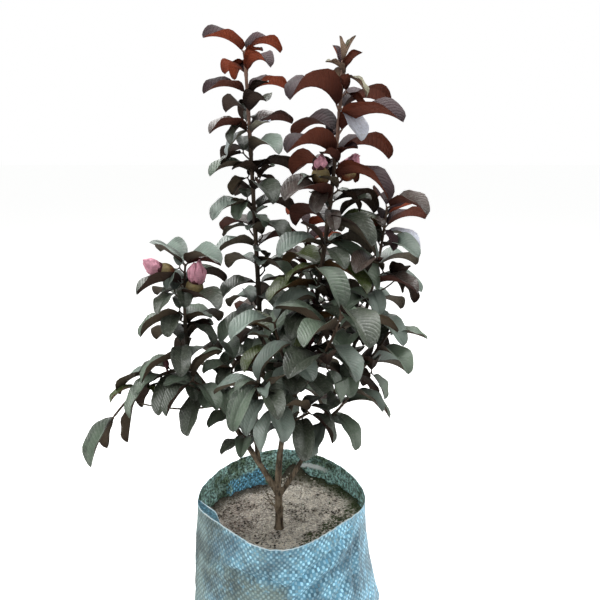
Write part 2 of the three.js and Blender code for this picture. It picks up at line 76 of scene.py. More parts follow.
# The soil falls towards the back left, has a bank at the back wall, a mound round the trunk and a
# brim along the wall. LUMPS has the fineness and the height of its noise.
SOIL_FALL = {"depth": 20, "start": 70, "reach": 100}
SOIL_BANK = {"x": 20, "y": 152, "height": 36, "width": 26, "depth": 34}
SOIL_MOUND = {"height": 2.5, "reach": 22}
SOIL_BRIM = {"height": 3, "from": 0.9}
LUMPS = ((0.018, 1.0), (0.05, 0.8), (0.13, 0.5), (0.3, 0.3))
# How far the crust's hidden skirt reaches down.
SKIRT = 45
# Where the trunk stands; its flare at the soil, as a share of its radius, ends at FLARE_REACH of
# its length.
TRUNK_FOOT = (-4, -42)
ROOT_FLARE = 0.2
FLARE_REACH = 0.3
# Gap that the CAD source leaves between touching solids.
GAP = 0.3
# Old leaf scars on the limbs: how far apart, and how much they swell the limb.
SCAR_STEP = 34
SCAR_SWELL = 0.12
# Length of a limb or stem from one ring of its mesh to the next.
RING_STEP = 6

# Share of a leaf that is its petiole, and the shares of it at which the CAD leaf bends. FOLD is in
# degrees, at the foot and at the tip of a stem.
PETIOLE = 0.09
LEAF_STATIONS = (0, 0.28, 0.63, 1)
STEEPEST_FALL = math.radians(-82)
FOLD = (24, 44)
# The last pair of a young tip and the one before it; size is a factor on the usual one, and
# YOUNG_INTERNODE the share of the usual distance that lies between them.
YOUNG_PAIRS = (
    {"size": 0.36, "rise": 74, "bend": 16, "fold": 64},
    {"size": 0.5, "rise": 60, "bend": 40, "fold": 52},
)
YOUNG_INTERNODE = 0.45
# Share of a stem at which its last pair of leaves stands.
LAST_PAIR = 0.99
# The pair of leaves at the end of a side twig, and of a finer twig, whose leaves are as long as
# FINE_LEAF says at the foot and at the tip of the stem.
TWIG_PAIR = {"rise": 38, "bend": 66, "fold": 24, "gaps": 0}
FINE_PAIR = {"rise": 30, "bend": 78, "fold": 30, "gaps": 0.25}
FINE_LEAF = (64, 44)
TWIG_RADIUS = (1.7, 1.1)
# Degrees that the CAD source may have turned a leaf round its stem, to keep it clear of others.
TURNS = (0, 15, -15, 30, -30)
# How far a CAD leaf's tip may stand from where the rule puts it, how far a finer leaf may leave
# its mass's box, and how far it stays from wood.
TIP_MATCH = 0.6
MASS_MARGIN = 6
WOOD_MARGIN = 7
# Seed of the first mass, the step to the next one's, and the first draws, which are left out.
FIRST_SEED = 11
SEED_STEP = 97
SKIPPED_DRAWS = 3
# A blossom's base stands above its stem by PEDICEL's rise and clear of it by off. Its stalk comes up
# from dip below the base and ends inside it.
PEDICEL = {"rise": 9.6, "off": 4, "dip": 6, "inside": 3}
FLOWER = {"length": 54, "radius": 12.5}
BUD = {"length": 21, "radius": 5.2}

# Trunk and boughs: heading is the compass angle from +X towards +Y, climb the angle above
# level, in degrees, and bow the shift of the limb's middle.
LIMBS = (
    {"name": "trunk", "heading": 180, "climb": 89, "length": 78, "bow": (1, 0, 0), "radius": (7.4, 6.2)},
    {"name": "centre_bough", "on": "trunk", "at": 0.9, "heading": -4, "climb": 79, "length": 216,
     "bow": (-12, 0, 0), "radius": (5.6, 3.8)},
    {"name": "left_bough", "on": "trunk", "at": 0.85, "heading": -175, "climb": 59, "length": 282,
     "bow": (3, 0, 4), "radius": (5.4, 3.3)},
    {"name": "right_bough", "on": "trunk", "at": 0.8, "heading": -2, "climb": 64, "length": 232,
     "bow": (4, 0, -6), "radius": (4.5, 3.3)},
    {"name": "back_bough", "on": "trunk", "at": 0.9, "heading": 86, "climb": 53, "length": 200,
     "bow": (0, 0, -8), "radius": (4.5, 3.3)},
    {"name": "left_leader_bough", "on": "left_bough", "at": 0.24, "heading": 87, "climb": 69, "length": 179,
     "bow": (-8, -4, 0), "radius": (4.4, 3.5)},
)


def clump(name, **values):
    """A mass of foliage, with the usual value of each setting that it doesn't name."""
    usual = {"bow": (0, 0, 0), "phase": 38, "young": 0, "twigs": {"count": 0}, "fill": 1, "sprigs": (),
             "blooms": ()}
    return {"name": name, **usual, **values}


# Masses of foliage, in the CAD source's order, which sets their seeds. size, rise and bend are
# (foot, tip). tints lists (share of the stem up to which they grow, names of leaf tints). A sprig
# is a single leaf: share of the stem, heading, climb, curl, length, fold and tint. A bloom has a
# share of the stem, heading, lean, kind and the size of its petals.
MASSES = (
    clump("left_leader", on="left_leader_bough", at=1, heading=159, climb=87.4, length=514, bow=(1, 0, 0),
          pairs=17, first=0.02, size=(92, 82), rise=(24, 46), bend=(92, 80),
          twigs={"count": 7, "from": 0.02, "to": 0.75, "length": 22, "leaf": 50}, fill=0.7,
          sprigs=((0.76, -150, -15, 60, 60, 26, "pale"), (0.75, -40, 45, 50, 50, 20, "silver")),
          tints=((0.35, "green grey dark green"), (0.7, "dark green dark grey maroon"),
                 (0.86, "maroon dark maroon"), (1, "flush russet flush"))),
    clump("right_leader", on="centre_bough", at=1, heading=0, climb=83, length=506, bow=(9, 0, 0),
          pairs=15, first=0.02, size=(92, 120), rise=(28, 52), bend=(86, 96), young=2,
          twigs={"count": 7, "from": 0.05, "to": 0.62, "length": 34, "leaf": 66},
          blooms=((0.61, -165, 0.1, FLOWER, 0.85), (0.63, 25, 0.9, FLOWER, 0.85),
                  (0.25, -120, 0.22, BUD, 1), (0.1, -60, 0.22, BUD, 1)),
          sprigs=((0.86, -50, -10, 70, 72, 12, "silver"), (0.52, -20, -5, 60, 104, 26, "grey"),
                  (0.46, -25, -15, 50, 120, 22, "green"), (0.37, -160, 15, 70, 68, 26, "olive"),
                  (0.25, -155, -5, 50, 104, 26, "green")),
          tints=((0.4, "dark green grey dark olive"), (0.62, "dark maroon grey dark"),
                 (0.7, "maroon russet"), (0.93, "russet russet flush"), (1, "tip"))),
    clump("right_shoot", on="right_bough", at=1, heading=4, climb=76, length=304, bow=(12, 0, 0),
          pairs=10, first=0.05, size=(88, 84), rise=(30, 40), bend=(82, 74),
          twigs={"count": 4, "from": 0.05, "to": 0.8, "length": 36, "leaf": 60},
          sprigs=((0.96, 0, 30, 20, 54, 40, "flush"), (0.85, -15, 25, 90, 70, 22, "silver"),
                  (0.59, -10, 25, 70, 84, 26, "grey")),
          tints=((0.5, "green dark grey dark"), (0.8, "grey maroon dark"), (1, "olive russet maroon"))),
    clump("left_flower_shoot", on="left_bough", at=1, heading=101, climb=88, length=166, bow=(-4, 0, 0),
          pairs=6, first=0.05, size=(96, 92), rise=(30, 40), bend=(90, 72),
          twigs={"count": 2, "from": 0.05, "to": 0.8, "length": 26, "leaf": 56},
          blooms=((0.64, -28, 0.3, FLOWER, 1.3), (0.85, -155, 2.3, FLOWER, 1.12)),
          sprigs=((0.99, -175, 50, 30, 68, 24, "grey"), (1, -10, 30, 60, 62, 30, "maroon")),
          tints=((0.6, "green dark green dark"), (0.85, "grey maroon dark"), (1, "grey"))),
    clump("far_left_shoot", on="left_bough", at=0.96, heading=-176, climb=-30, length=152, bow=(0, 0, 24),
          pairs=4, first=0.25, phase=0, size=(72, 88), rise=(40, 55), bend=(84, 50),
          blooms=((0.3, -100, 0.22, BUD, 1),),
          sprigs=((0.6, -20, -25, 20, 34, 20, "lime"), (0.13, -125, -20, 52, 88, 20, "dark"),
                  (0.36, -145, 0, 52, 62, 22, "green"), (0.09, -62, -20, 50, 60, 22, "dark"),
                  (0.45, 172, 22, 100, 84, 30, "grey")), tints=((0.6, "green dark olive"), (1, "green"))),
    clump("left_spur", on="left_bough", at=0.69, heading=0, climb=70, length=81, pairs=4, first=0.2,
          size=(76, 70), rise=(20, 40), bend=(66, 64), tints=((1, "green grey dark"),)),
    clump("left_under_shoot", on="left_bough", at=0.79, heading=-119, climb=37, length=57, pairs=3,
          first=0.3, size=(76, 70), rise=(14, 30), bend=(62, 60), tints=((1, "dark green green"),)),
    clump("low_spur", on="left_bough", at=0.36, heading=-164, climb=74, length=81, pairs=4, first=0.15,
          size=(76, 72), rise=(26, 40), bend=(68, 62), tints=((1, "green grey green dark"),)),
    clump("foot_spur", on="left_bough", at=0.34, heading=-110, climb=56, length=40, pairs=2, first=0.6,
          phase=10, size=(56, 58), rise=(44, 50), bend=(60, 60), fill=0, tints=((1, "dark green"),)),
    clump("low_front_spur", on="centre_bough", at=0.6, heading=-30, climb=34, length=56, pairs=3,
          first=0.4, phase=20, size=(74, 76), rise=(24, 16), bend=(70, 62), fill=0.4,
          sprigs=((0.02, -165, -5, 50, 84, 22, "grey"),), tints=((1, "green grey dark"),)),
    clump("front_shoot", on="centre_bough", at=0.7, heading=-116, climb=39, length=136, bow=(0, 0, -5),
          pairs=5, first=0.35, size=(76, 80), rise=(30, 40), bend=(74, 70), fill=0.5,
          tints=((1, "grey green dark grey"),)),
    clump("low_right_shoot", on="right_bough", at=0.68, heading=-31, climb=50, length=92, bow=(0, 0, -6),
          pairs=4, first=0.15, size=(76, 74), rise=(30, 40), bend=(76, 70), fill=0.5,
          sprigs=((0.21, -135, -30, 40, 74, 20, "grey"), (1, -10, -5, 60, 78, 24, "green")),
          tints=((1, "green dark grey green"),)),
    clump("mid_right_shoot", on="right_bough", at=0.93, heading=-23, climb=52, length=147,
          bow=(0, 0, -10), pairs=5, first=0.2, size=(84, 88), rise=(30, 46), bend=(70, 70), fill=0.6,
          sprigs=((1, 0, 10, 40, 64, 26, "green"),), tints=((1, "green grey dark green"),)),
    clump("front_right_shoot", on="centre_bough", at=0.87, heading=-58, climb=52, length=210,
          bow=(6, 0, -8), pairs=6, first=0.2, size=(98, 104), rise=(34, 44), bend=(72, 76), fill=0.5,
          tints=((0.6, "dark green grey"), (1, "green dark"))),
    clump("centre_left_shoot", on="centre_bough", at=0.92, heading=-129, climb=65, length=137,
          bow=(-6, 0, 0), pairs=5, first=0.15, size=(92, 88), rise=(34, 44), bend=(72, 76),
          blooms=((0.4, -60, 0.22, BUD, 1),), fill=0.5,
          tints=((0.6, "olive grey dark"), (1, "pale grey olive"))),
    clump("back_shoot", on="back_bough", at=1, heading=53, climb=75, length=290, bow=(0, 10, 0), pairs=10,
          first=0.04, size=(86, 80), rise=(34, 50), bend=(80, 68),
          tints=((0.6, "green dark grey"), (0.85, "dark maroon"), (1, "flush"))),
    clump("back_left_shoot", on="back_bough", at=0.76, heading=122, climb=61, length=196, bow=(0, 0, -10),
          pairs=6, first=0.1, size=(84, 80), rise=(34, 44), bend=(76, 72),
          tints=((0.8, "green dark grey"), (1, "maroon dark"))),
    clump("back_right_shoot", on="back_bough", at=0.89, heading=7, climb=60, length=219, bow=(0, 0, -14),
          pairs=7, first=0.1, size=(86, 80), rise=(34, 44), bend=(76, 72),
          sprigs=((0.11, -95, -30, 50, 78, 14, "grey"),),
          tints=((0.8, "green dark grey"), (1, "maroon dark"))),
)
# Stem radius (foot, tip) of a mass; the two leaders are stouter.
STEM_RADIUS = (3.1, 1.5)
LEADER_RADIUS = (3.9, 2.2)
LEADERS = ("left_leader", "right_leader")


def srgb(code):
    """Linear colour of a hexadecimal sRGB code such as 'a0b0c0'."""
    parts = [int(code[i:i + 2], 16) / 255 for i in (0, 2, 4)]
    return tuple(c / 12.92 if c <= 0.04045 else ((c + 0.055) / 1.055) ** 2.4 for c in parts)


# Leaf tints: colour above and below.
TINTS = {
    "green": ("556353", "382e22"),
    "grey": ("69766d", "453d32"),
    "dark": ("343c2f", "291b13"),
    # The olive tint is partly the leaves' own olive colour and partly a painted glow, as of light shining
    # through backlit leaves.
    "olive": ("3e4a1b", "4c3417"),
    # The whitish upper sides of the pale and silver tints are a painted reflection of the bright sky on
    # glossy leaves.
    "pale": ("8f9896", "6a685c"),
    "silver": ("a9adb8", "8a8578"),
    "maroon": ("443832", "401d13"),
    "russet": ("2b1a1d", "4c2112"),
    "flush": ("2f1b1e", "78331a"),
    "lime": ("5c6b26", "4a5520"),
    "tip": ("7d7a68", "7f6a5a"),
}

YOUNG_TINTS = ("russet", "flush", "tip")

# --- settings panel


def length_setting(name, description, default):
    """A length in millimetres that a user may change, kept in metres."""
    return FloatProperty(name=name, description=description, default=default * MM, min=0, precision=4,
                         unit="LENGTH", subtype="DISTANCE")


def colour_setting(name, description, code):
    """A colour that a user may change, given as an sRGB code."""
    return FloatVectorProperty(name=name, description=description, default=srgb(code), min=0, max=1,
                               size=3, subtype="COLOR")


class GuavaSackSettings(bpy.types.PropertyGroup):
    """Sizes and colours of the woven sack."""

    height: length_setting("Height", "Height of the sack at its front", 320)
    cloth: length_setting("Cloth", "Thickness of the woven cloth", 1.0)
    tape: length_setting("Tape", "Width of one woven tape", 4.8)
    fold: length_setting("Fold", "Depth of the folds", 7)
    # The light tape's colour also paints highlights on the crowns of the tapes; the dark tape's colour also
    # paints shade in the gaps between tapes and on the folded corner inside the rim.
    light_tape_and_highlight: colour_setting("Light tape", "Tapes that lie on top", "a2cbdb")
    dark_tape_and_shade: colour_setting("Dark tape", "Tapes that lie below", "6699b0")
    grime: colour_setting("Grime", "Dried mud on the weave", "838e82")
    # The cut edge's colour, made lighter, also paints the highlight band inside the rim.
    edge: colour_setting("Cut edge", "Pale edge of the cut rim", "dbe4e4")
    algae: colour_setting("Algae", "Stains inside the rim", "55694f")
    fresh: colour_setting("Clean inside", "Unstained cloth inside the rim", "88cff0")
    film: colour_setting("Film", "Thin pale film over the cloth inside the rim", "abd0c2")


class GuavaSoilSettings(bpy.types.PropertyGroup):
    """Level, relief and colours of the soil."""

    level: length_setting("Level", "Height of the soil at the trunk", 290)
    relief: length_setting("Relief", "Height of the lumps", 3.2)
    crumbs: IntProperty(name="Crumbs", description="Number of loose crumbs", default=900, min=0)
    # The dry colour, made lighter, also paints the light on the soil at the front.
    dry: colour_setting("Dry soil", "Sandy crust", "e2d9c9")
    # The damp colour, made darker, also paints the shade on the bank and along the back left wall.
    damp: colour_setting("Damp soil", "Soil in the hollows", "665d51")
    # The pits' dark colour is painted shade in them.
    pit: colour_setting("Pits", "Small dark pits", "2a251f")
    brown: colour_setting("Brown soil", "Silty soil at the left", "a8958a")
    sand: colour_setting("Sand", "Pale grains of the crust", "fbf6ea")
    moss: colour_setting("Moss", "Green crust along the wall", "43522f")


class GuavaWoodSettings(bpy.types.PropertyGroup):
    """Relief and colours of the bark and of the young stems."""

    relief: length_setting("Bark relief", "Depth of the bark's fibres", 0.45)
    detail: length_setting("Mesh detail", "Size of the mesh's faces", 1.1)
    bark: colour_setting("Bark", "Trunk and boughs", "786a58")
    shade: colour_setting("Bark cracks", "Cracks and old scars", "2e261d")
    old_stem: colour_setting("Old stem", "Lower part of the shoots", "3c3329")
    mid_stem: colour_setting("Stem", "Middle of the shoots", "4f4034")
    young_stem: colour_setting("Young stem", "Growing tips", "86685a")


class GuavaLeafSettings(bpy.types.PropertyGroup):
    """Proportions and tints of the leaves."""

    width: FloatProperty(name="Width", description="Leaf width as a share of its length", default=0.57,
                         min=0.2, max=0.8, subtype="FACTOR")
    thickness: length_setting("Thickness", "Thickness of the blade", 0.55)
    wave: length_setting("Wave", "Height of the waves along the margin", 1.6)
    veins: IntProperty(name="Veins", description="Side veins on each half of a leaf", default=13, min=4)
    fill: FloatProperty(name="Fill", description="Share of the leaf axils that carry a finer twig",
                        default=0.5, min=0, max=1, subtype="FACTOR")
    # The dust colour also paints a speckled sheen on the upper sides.
    dust: colour_setting("Dust", "Pale dust on the upper sides", "8a8c84")


for tint_name, (above_code, below_code) in TINTS.items():
    GuavaLeafSettings.__annotations__[tint_name + "_above"] = colour_setting(
        tint_name.capitalize() + " above", "Upper side of the " + tint_name + " leaves", above_code)
    GuavaLeafSettings.__annotations__[tint_name + "_below"] = colour_setting(
        tint_name.capitalize() + " below", "Underside of the " + tint_name + " leaves", below_code)


class GuavaBlossomSettings(bpy.types.PropertyGroup):
    """Colours of the blossom."""

    petal: colour_setting("Petal", "Crumpled petals", "e8a6b8")
    petal_base: colour_setting("Petal base", "Foot of the petals", "b4677a")
    ovary: colour_setting("Ovary", "Top of the round ovary", "8a7a52")
    ovary_base: colour_setting("Ovary base", "Reddish foot of the ovary", "6a2f17")
    bud: colour_setting("Bud", "Closed buds and sepals", "50242a")


class GuavaStageSettings(bpy.types.PropertyGroup):
    """Floor, light and camera."""

    floor: colour_setting("Floor", "Plain pale floor", "f2f2f0")
    light: FloatProperty(name="Light", description="Strength of the sky light", default=0.32, min=0)
    lens: FloatProperty(name="Lens", description="Focal length on a 36 mm frame", default=40.8, min=1,
                        subtype="DISTANCE_CAMERA")
    tilt: FloatProperty(name="Tilt", description="How far the camera looks down", default=math.radians(13),
                        unit="ROTATION", subtype="ANGLE")
    camera: FloatVectorProperty(name="Camera", description="Place of the camera", size=3,
                                default=(0.033, -1.121, 0.954), unit="LENGTH", subtype="TRANSLATION")


# --- curves and chance


def dealer(seed):
    """Even pseudo-random numbers from 0 to 1, the same as the CAD source deals."""
    state = seed
    for dealt in itertools.count():
        state = (state * 1664525 + 1013904223) % 2 ** 32
        if dealt >= SKIPPED_DRAWS:
            yield state / 2 ** 32


def between(ends, share):
    """Value between the two ends of a range."""
    return ends[0] + (ends[1] - ends[0]) * share


def unit(vector):
    """The vector with length 1."""
    return vector / np.linalg.norm(vector)


def direction(heading, climb):
    """Unit vector at a compass heading and an angle above level, in radians."""
    reach = math.cos(climb)
    return np.array([reach * math.cos(heading), reach * math.sin(heading), math.sin(climb)])


class Bend:
    """A line from foot to tip, pulled aside by a middle point."""

    def __init__(self, foot, middle, tip):
        self.foot, self.middle, self.tip = (np.asarray(p, float) for p in (foot, middle, tip))

    def point(self, share):
        """The point at a share of the way."""
        return self.foot * (1 - share) ** 2 + self.middle * 2 * share * (1 - share) + self.tip * share ** 2

    def tangent(self, share):
        """The direction at a share of the way."""
        return unit((self.middle - self.foot) * (1 - share) + (self.tip - self.middle) * share)


def limb_bend(foot, limb):
    """The curve of a limb or stem from its foot."""
    tip = foot + direction(math.radians(limb["heading"]), math.radians(limb["climb"])) * limb["length"]
    return Bend(foot, (foot + tip) / 2 + 2 * np.array(limb["bow"], float), tip)


def out_from(along, angle):
    """The direction that leaves a stem squarely at an angle round it."""
    back = unit(np.array([0.0, 1.0, 0.0]) - along * along[1])
    side = np.cross(back, along)
    return side * math.cos(angle) + back * math.sin(angle)


def limb_bends():
    """The curve of each limb by name."""
    level = bpy.context.scene.guava_soil.level / MM
    bends = {}
    for limb in LIMBS:
        if "on" in limb:
            foot = bends[limb["on"]].point(limb["at"])
        else:
            foot = np.array([*TRUNK_FOOT, level + GAP])
        bends[limb["name"]] = limb_bend(foot, limb)
    return bends


def mass_bends(limbs):
    """The curve of each mass's stem, from the curves of the limbs."""
    return [limb_bend(limbs[mass["on"]].point(mass["at"]), mass) for mass in MASSES]


# --- leaf growth


def leaf_pair(deal, bend, at, angle, rule):
    """The two leaves of a pair, each with its own small differences."""
    for side in (0, math.pi):
        luck = [next(deal) for _ in range(6)]
        if luck[5] < rule["gaps"]:
            continue
        yield {
            "root": bend.point(at),
            "along": bend.tangent(at),
            "angle": angle + side,
            "rise": math.radians(rule["rise"] + 16 * (luck[0] - 0.5)),
            "bend": math.radians(rule["bend"] + 30 * (luck[1] - 0.5)),
            "length": rule["size"] * (0.86 + 0.28 * luck[2]),
            "width": rule["size"] * rule["width"] * (0.9 + 0.2 * luck[3]),
            "fold": math.radians(rule["fold"] + 10 * (luck[4] - 0.5)),
            "roll": math.radians(34 * (luck[4] - 0.5)),
            "share": rule["share"],
        }


def growth(mass, bend, seed, width):
    """All leaves of a mass, and its side twigs with their leaves, as in the CAD source."""
    deal = dealer(seed)
    leaves, twigs = [], []
    last = mass["pairs"] - 1
    for node in range(mass["pairs"]):
        age = last - node
        place = last - YOUNG_INTERNODE if age == 1 and mass["young"] > 1 else node
        share = node / last
        angle = math.radians(mass["phase"]) + node * math.pi / 2 + math.radians(18) * (next(deal) - 0.5)
        young = YOUNG_PAIRS[age] if age < mass["young"] else None
        rule = {
            "size": between(mass["size"], share) * (young["size"] if young else 1),
            "rise": young["rise"] if young else between(mass["rise"], share),
            "bend": young["bend"] if young else between(mass["bend"], share),
            "fold": young["fold"] if young else between(FOLD, share),
            "gaps": 0 if age == 0 else 0.05,
            "width": width * (0.66 if young else 1),
            "share": share,
        }
        at = between((mass["first"], LAST_PAIR), place / last)
        leaves.extend(leaf_pair(deal, bend, at, angle, rule))
    side = mass["twigs"]
    for twig in range(side["count"]):
        luck = [next(deal) for _ in range(3)]
        at = between((side["from"], side["to"]), (twig + luck[0] * 0.8) / side["count"])
        angle = math.radians(mass["phase"] + 45 + twig * 137.5)
        way = unit(out_from(bend.tangent(at), angle) + bend.tangent(at))
        twig_bend = side_twig(bend.point(at), way, side["length"] * (0.8 + 0.5 * luck[1]))
        rule = {**TWIG_PAIR, "size": side["leaf"], "width": width, "share": at}
        twigs.append((twig_bend, list(leaf_pair(deal, twig_bend, 0.97, angle + 0.6, rule))))
    return leaves, twigs


def side_twig(foot, way, length):
    """The curve of a short side twig that sags a little."""
    tip = foot + way * length
    return Bend(foot, (foot + tip) / 2 - UP * 0.16 * length, tip)


def finer_twigs(mass, bend, seed, settings):
    """Twigs out of the leaf axils that are too fine for the CAD source, with a pair of leaves each."""
    deal = dealer(seed)
    for node in range(mass["pairs"] - 1):
        for side in (0, 1):
            luck = [next(deal) for _ in range(4)]
            share = (node + 0.15 + 0.5 * luck[0]) / (mass["pairs"] - 1)
            at = between((mass["first"], LAST_PAIR), share)
            angle = math.radians(mass["phase"]) + (node + 2 * side + 1.2 * (luck[1] - 0.5)) * math.pi / 2
            way = unit(out_from(bend.tangent(at), angle) + bend.tangent(at) * 0.9)
            twig = side_twig(bend.point(at), way, (12 + 16 * luck[2]) * (1 - 0.5 * share))
            rule = {**FINE_PAIR, "size": between(FINE_LEAF, share), "width": settings.width, "share": share}
            leaves = list(leaf_pair(deal, twig, 0.97, angle + 0.5, rule))
            if luck[3] < settings.fill * mass["fill"]:
                yield twig, leaves


def leaf_start(along, angle, rise):
    """Heading and climb of a petiole that leaves a stem at an angle round it."""
    out = out_from(along, angle)
    way = unit(out * math.cos(rise) + along * math.sin(rise))
    flat = way if math.hypot(way[0], way[1]) > 0.12 else out
    return math.atan2(flat[1], flat[0]), math.asin(max(-1.0, min(1.0, way[2])))


def tip_climb(start, bend):
    """The climb of a blade's tip, from the climb of its foot and its bend."""
    return max(start - bend, STEEPEST_FALL)


def solid_tip(leaf, heading, start):
    """Where the CAD source puts the tip of this leaf."""
    finish = tip_climb(start, leaf["bend"])
    point = leaf["root"].copy()
    for low, high in zip(LEAF_STATIONS, LEAF_STATIONS[1:]):
        climb = between((start, finish), (low + high) / 2)
        point += direction(heading, climb) * (high - low) * leaf["length"]
    return point


def placed_leaf(leaf, tree):
    """The leaf with the heading it has in the CAD mass, or None where the mass has no such leaf."""
    for turn in TURNS:
        heading, start = leaf_start(leaf["along"], leaf["angle"] + math.radians(turn), leaf["rise"])
        near = tree.find(Vector(solid_tip(leaf, heading, start) * MM))
        if near[2] < TIP_MATCH * MM:
            return {**leaf, "heading": heading, "start": start}
    return None


def search_tree(points):
    """A search tree over places in metres."""
    tree = KDTree(len(points))
    for index, point in enumerate(points):
        tree.insert(point, index)
    tree.balance()
    return tree


def wood_tree(lines):
    """A search tree over the middle lines of all limbs and stems."""
    return search_tree([Vector(line.point(share) * MM) for line in lines for share in np.linspace(0, 1, 60)])


def has_room(leaf, wood, box):
    """Whether a finer leaf stays in its mass's reach and clear of all wood."""
    start = leaf["start"]
    for share in (0.45, 0.7, 1.0):
        finish = between((start, tip_climb(start, leaf["bend"])), share)
        place = leaf["root"] + direction(leaf["heading"], (start + finish) / 2) * leaf["length"] * share
        outside = np.any(place < box[0] - MASS_MARGIN) or np.any(place > box[1] + MASS_MARGIN)
        if outside or wood.find(Vector(place * MM))[2] < WOOD_MARGIN * MM:
            return False
    return True


# --- meshing


def finish_piece(name, mesh, replaced=(), smooth=True):
    """Links a mesh as a piece of the tree that rides on the frame."""
    piece = bpy.data.objects.new(name, mesh)
    bpy.context.scene.collection.objects.link(piece)
    mesh.polygons.foreach_set("use_smooth", [smooth] * len(mesh.polygons))
    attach(piece, "root")
    if replaced:
        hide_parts(*replaced)
    return piece


def grid(columns, rows, size=1):
    """A flat grid in a new bmesh, from -size to size each way."""
    shape = bmesh.new()
    bmesh.ops.create_grid(shape, x_segments=columns, y_segments=rows, size=size)
    return shape


def thicken(shape, thickness):
    """Gives an open sheet in a bmesh a thickness."""
    bmesh.ops.solidify(shape, geom=[*shape.faces, *shape.edges, *shape.verts], thickness=thickness)


def close(shape):
    """Fills the holes of a bmesh and turns its faces outward."""
    bmesh.ops.holes_fill(shape, edges=[edge for edge in shape.edges if edge.is_boundary], sides=0)
    bmesh.ops.recalc_face_normals(shape, faces=shape.faces)


def made_mesh(name, shape, *materials):
    """The mesh of a bmesh, which is freed."""
    mesh = bpy.data.meshes.new(name)
    shape.to_mesh(mesh)
    shape.free()
    for material in materials:
        mesh.materials.append(material)
    return mesh


class Batch:
    """Gathers many small closed shapes, which become one joined mesh."""

    def __init__(self):
        self.points, self.faces, self.slots, self.count = [], [], [], 0
        self.layers = {"surface": [], "chance": []}

    def add(self, points, faces, slots, uvs=None, chance=(0.5, 0.5)):
        """Adds one shape. slots has a material slot for each face or one for all, uvs a pair for each
        point, and chance is the shape's own pair."""
        pairs = np.zeros((len(points), 2)) if uvs is None else uvs
        for face in faces:
            self.faces.append([corner + self.count for corner in face])
            self.layers["surface"].extend(pairs[corner] for corner in face)
            self.layers["chance"].extend([chance] * len(face))
        self.points.append(points)
        self.slots.extend([slots] * len(faces) if isinstance(slots, int) else slots)
        self.count += len(points)

    def add_tube(self, slot, bend, radius, sides, steps, ends=(0.0, 1.0), square=0.0):
        """Adds a closed tube along a bend. radius is a function of the share of its length, and square
        makes its section angular."""
        points = []
        for share in np.linspace(*ends, steps + 1):
            centre, along, wide = bend.point(share), bend.tangent(share), radius(share)
            for angle in 2 * math.pi * np.arange(sides) / sides:
                points.append(centre + out_from(along, angle) * wide * (1 + square * math.cos(4 * angle)))
        faces = []
        for low in range(0, steps * sides, sides):
            for i in range(sides):
                j = (i + 1) % sides
                faces.append((low + i, low + j, low + sides + j, low + sides + i))
        faces.append(tuple(range(sides))[::-1])
        faces.append(tuple(range(steps * sides, (steps + 1) * sides)))
        self.add(np.array(points), faces, slot)

    def mesh(self, name, materials, weld=1e-7):
        """The joined mesh, with its doubles merged and edges between two materials kept sharp."""
        mesh = bpy.data.meshes.new(name)
        mesh.from_pydata((np.concatenate(self.points) * MM).tolist(), [], self.faces)
        for material in materials:
            mesh.materials.append(material)
        mesh.polygons.foreach_set("material_index", self.slots)
        for key, pairs in self.layers.items():
            layer = mesh.uv_layers.new(name=key)
            layer.data.foreach_set("uv", np.array(pairs, float).ravel())
        shape = bmesh.new()
        shape.from_mesh(mesh)
        bmesh.ops.remove_doubles(shape, verts=shape.verts, dist=weld)
        bmesh.ops.dissolve_degenerate(shape, edges=shape.edges, dist=weld)
        for edge in shape.edges:
            if len({face.material_index for face in edge.link_faces}) > 1:
                edge.smooth = False
        shape.to_mesh(mesh)
        shape.free()
        return mesh


# --- node tools


class Signal:
    """The output of a shader node, which can be reckoned with like a number."""

    def __init__(self, nodes, socket):
        self.nodes, self.socket = nodes, socket

    def __add__(self, other):
        return self.nodes.calc("ADD", self, other)

    def __sub__(self, other):
        return self.nodes.calc("SUBTRACT", self, other)

    def __rsub__(self, other):
        return self.nodes.calc("SUBTRACT", other, self)

    def __mul__(self, other):
        return self.nodes.calc("MULTIPLY", self, other)

    def __pow__(self, other):
        return self.nodes.calc("POWER", self, other)

    def __abs__(self):
        return self.nodes.calc("ABSOLUTE", self)

    def climb(self, low, high):
        """A mask that climbs from 0 to 1 as the value goes from low to high."""
        inputs = {"Value": self, "From Min": low, "From Max": high}
        return self.nodes.add("ShaderNodeMapRange", inputs, interpolation_type="SMOOTHSTEP")

    def span(self, low, full, fading, high):
        """A mask that climbs from low to full, and falls again from fading to high."""
        return self.climb(low, full) * self.climb(high, fading)


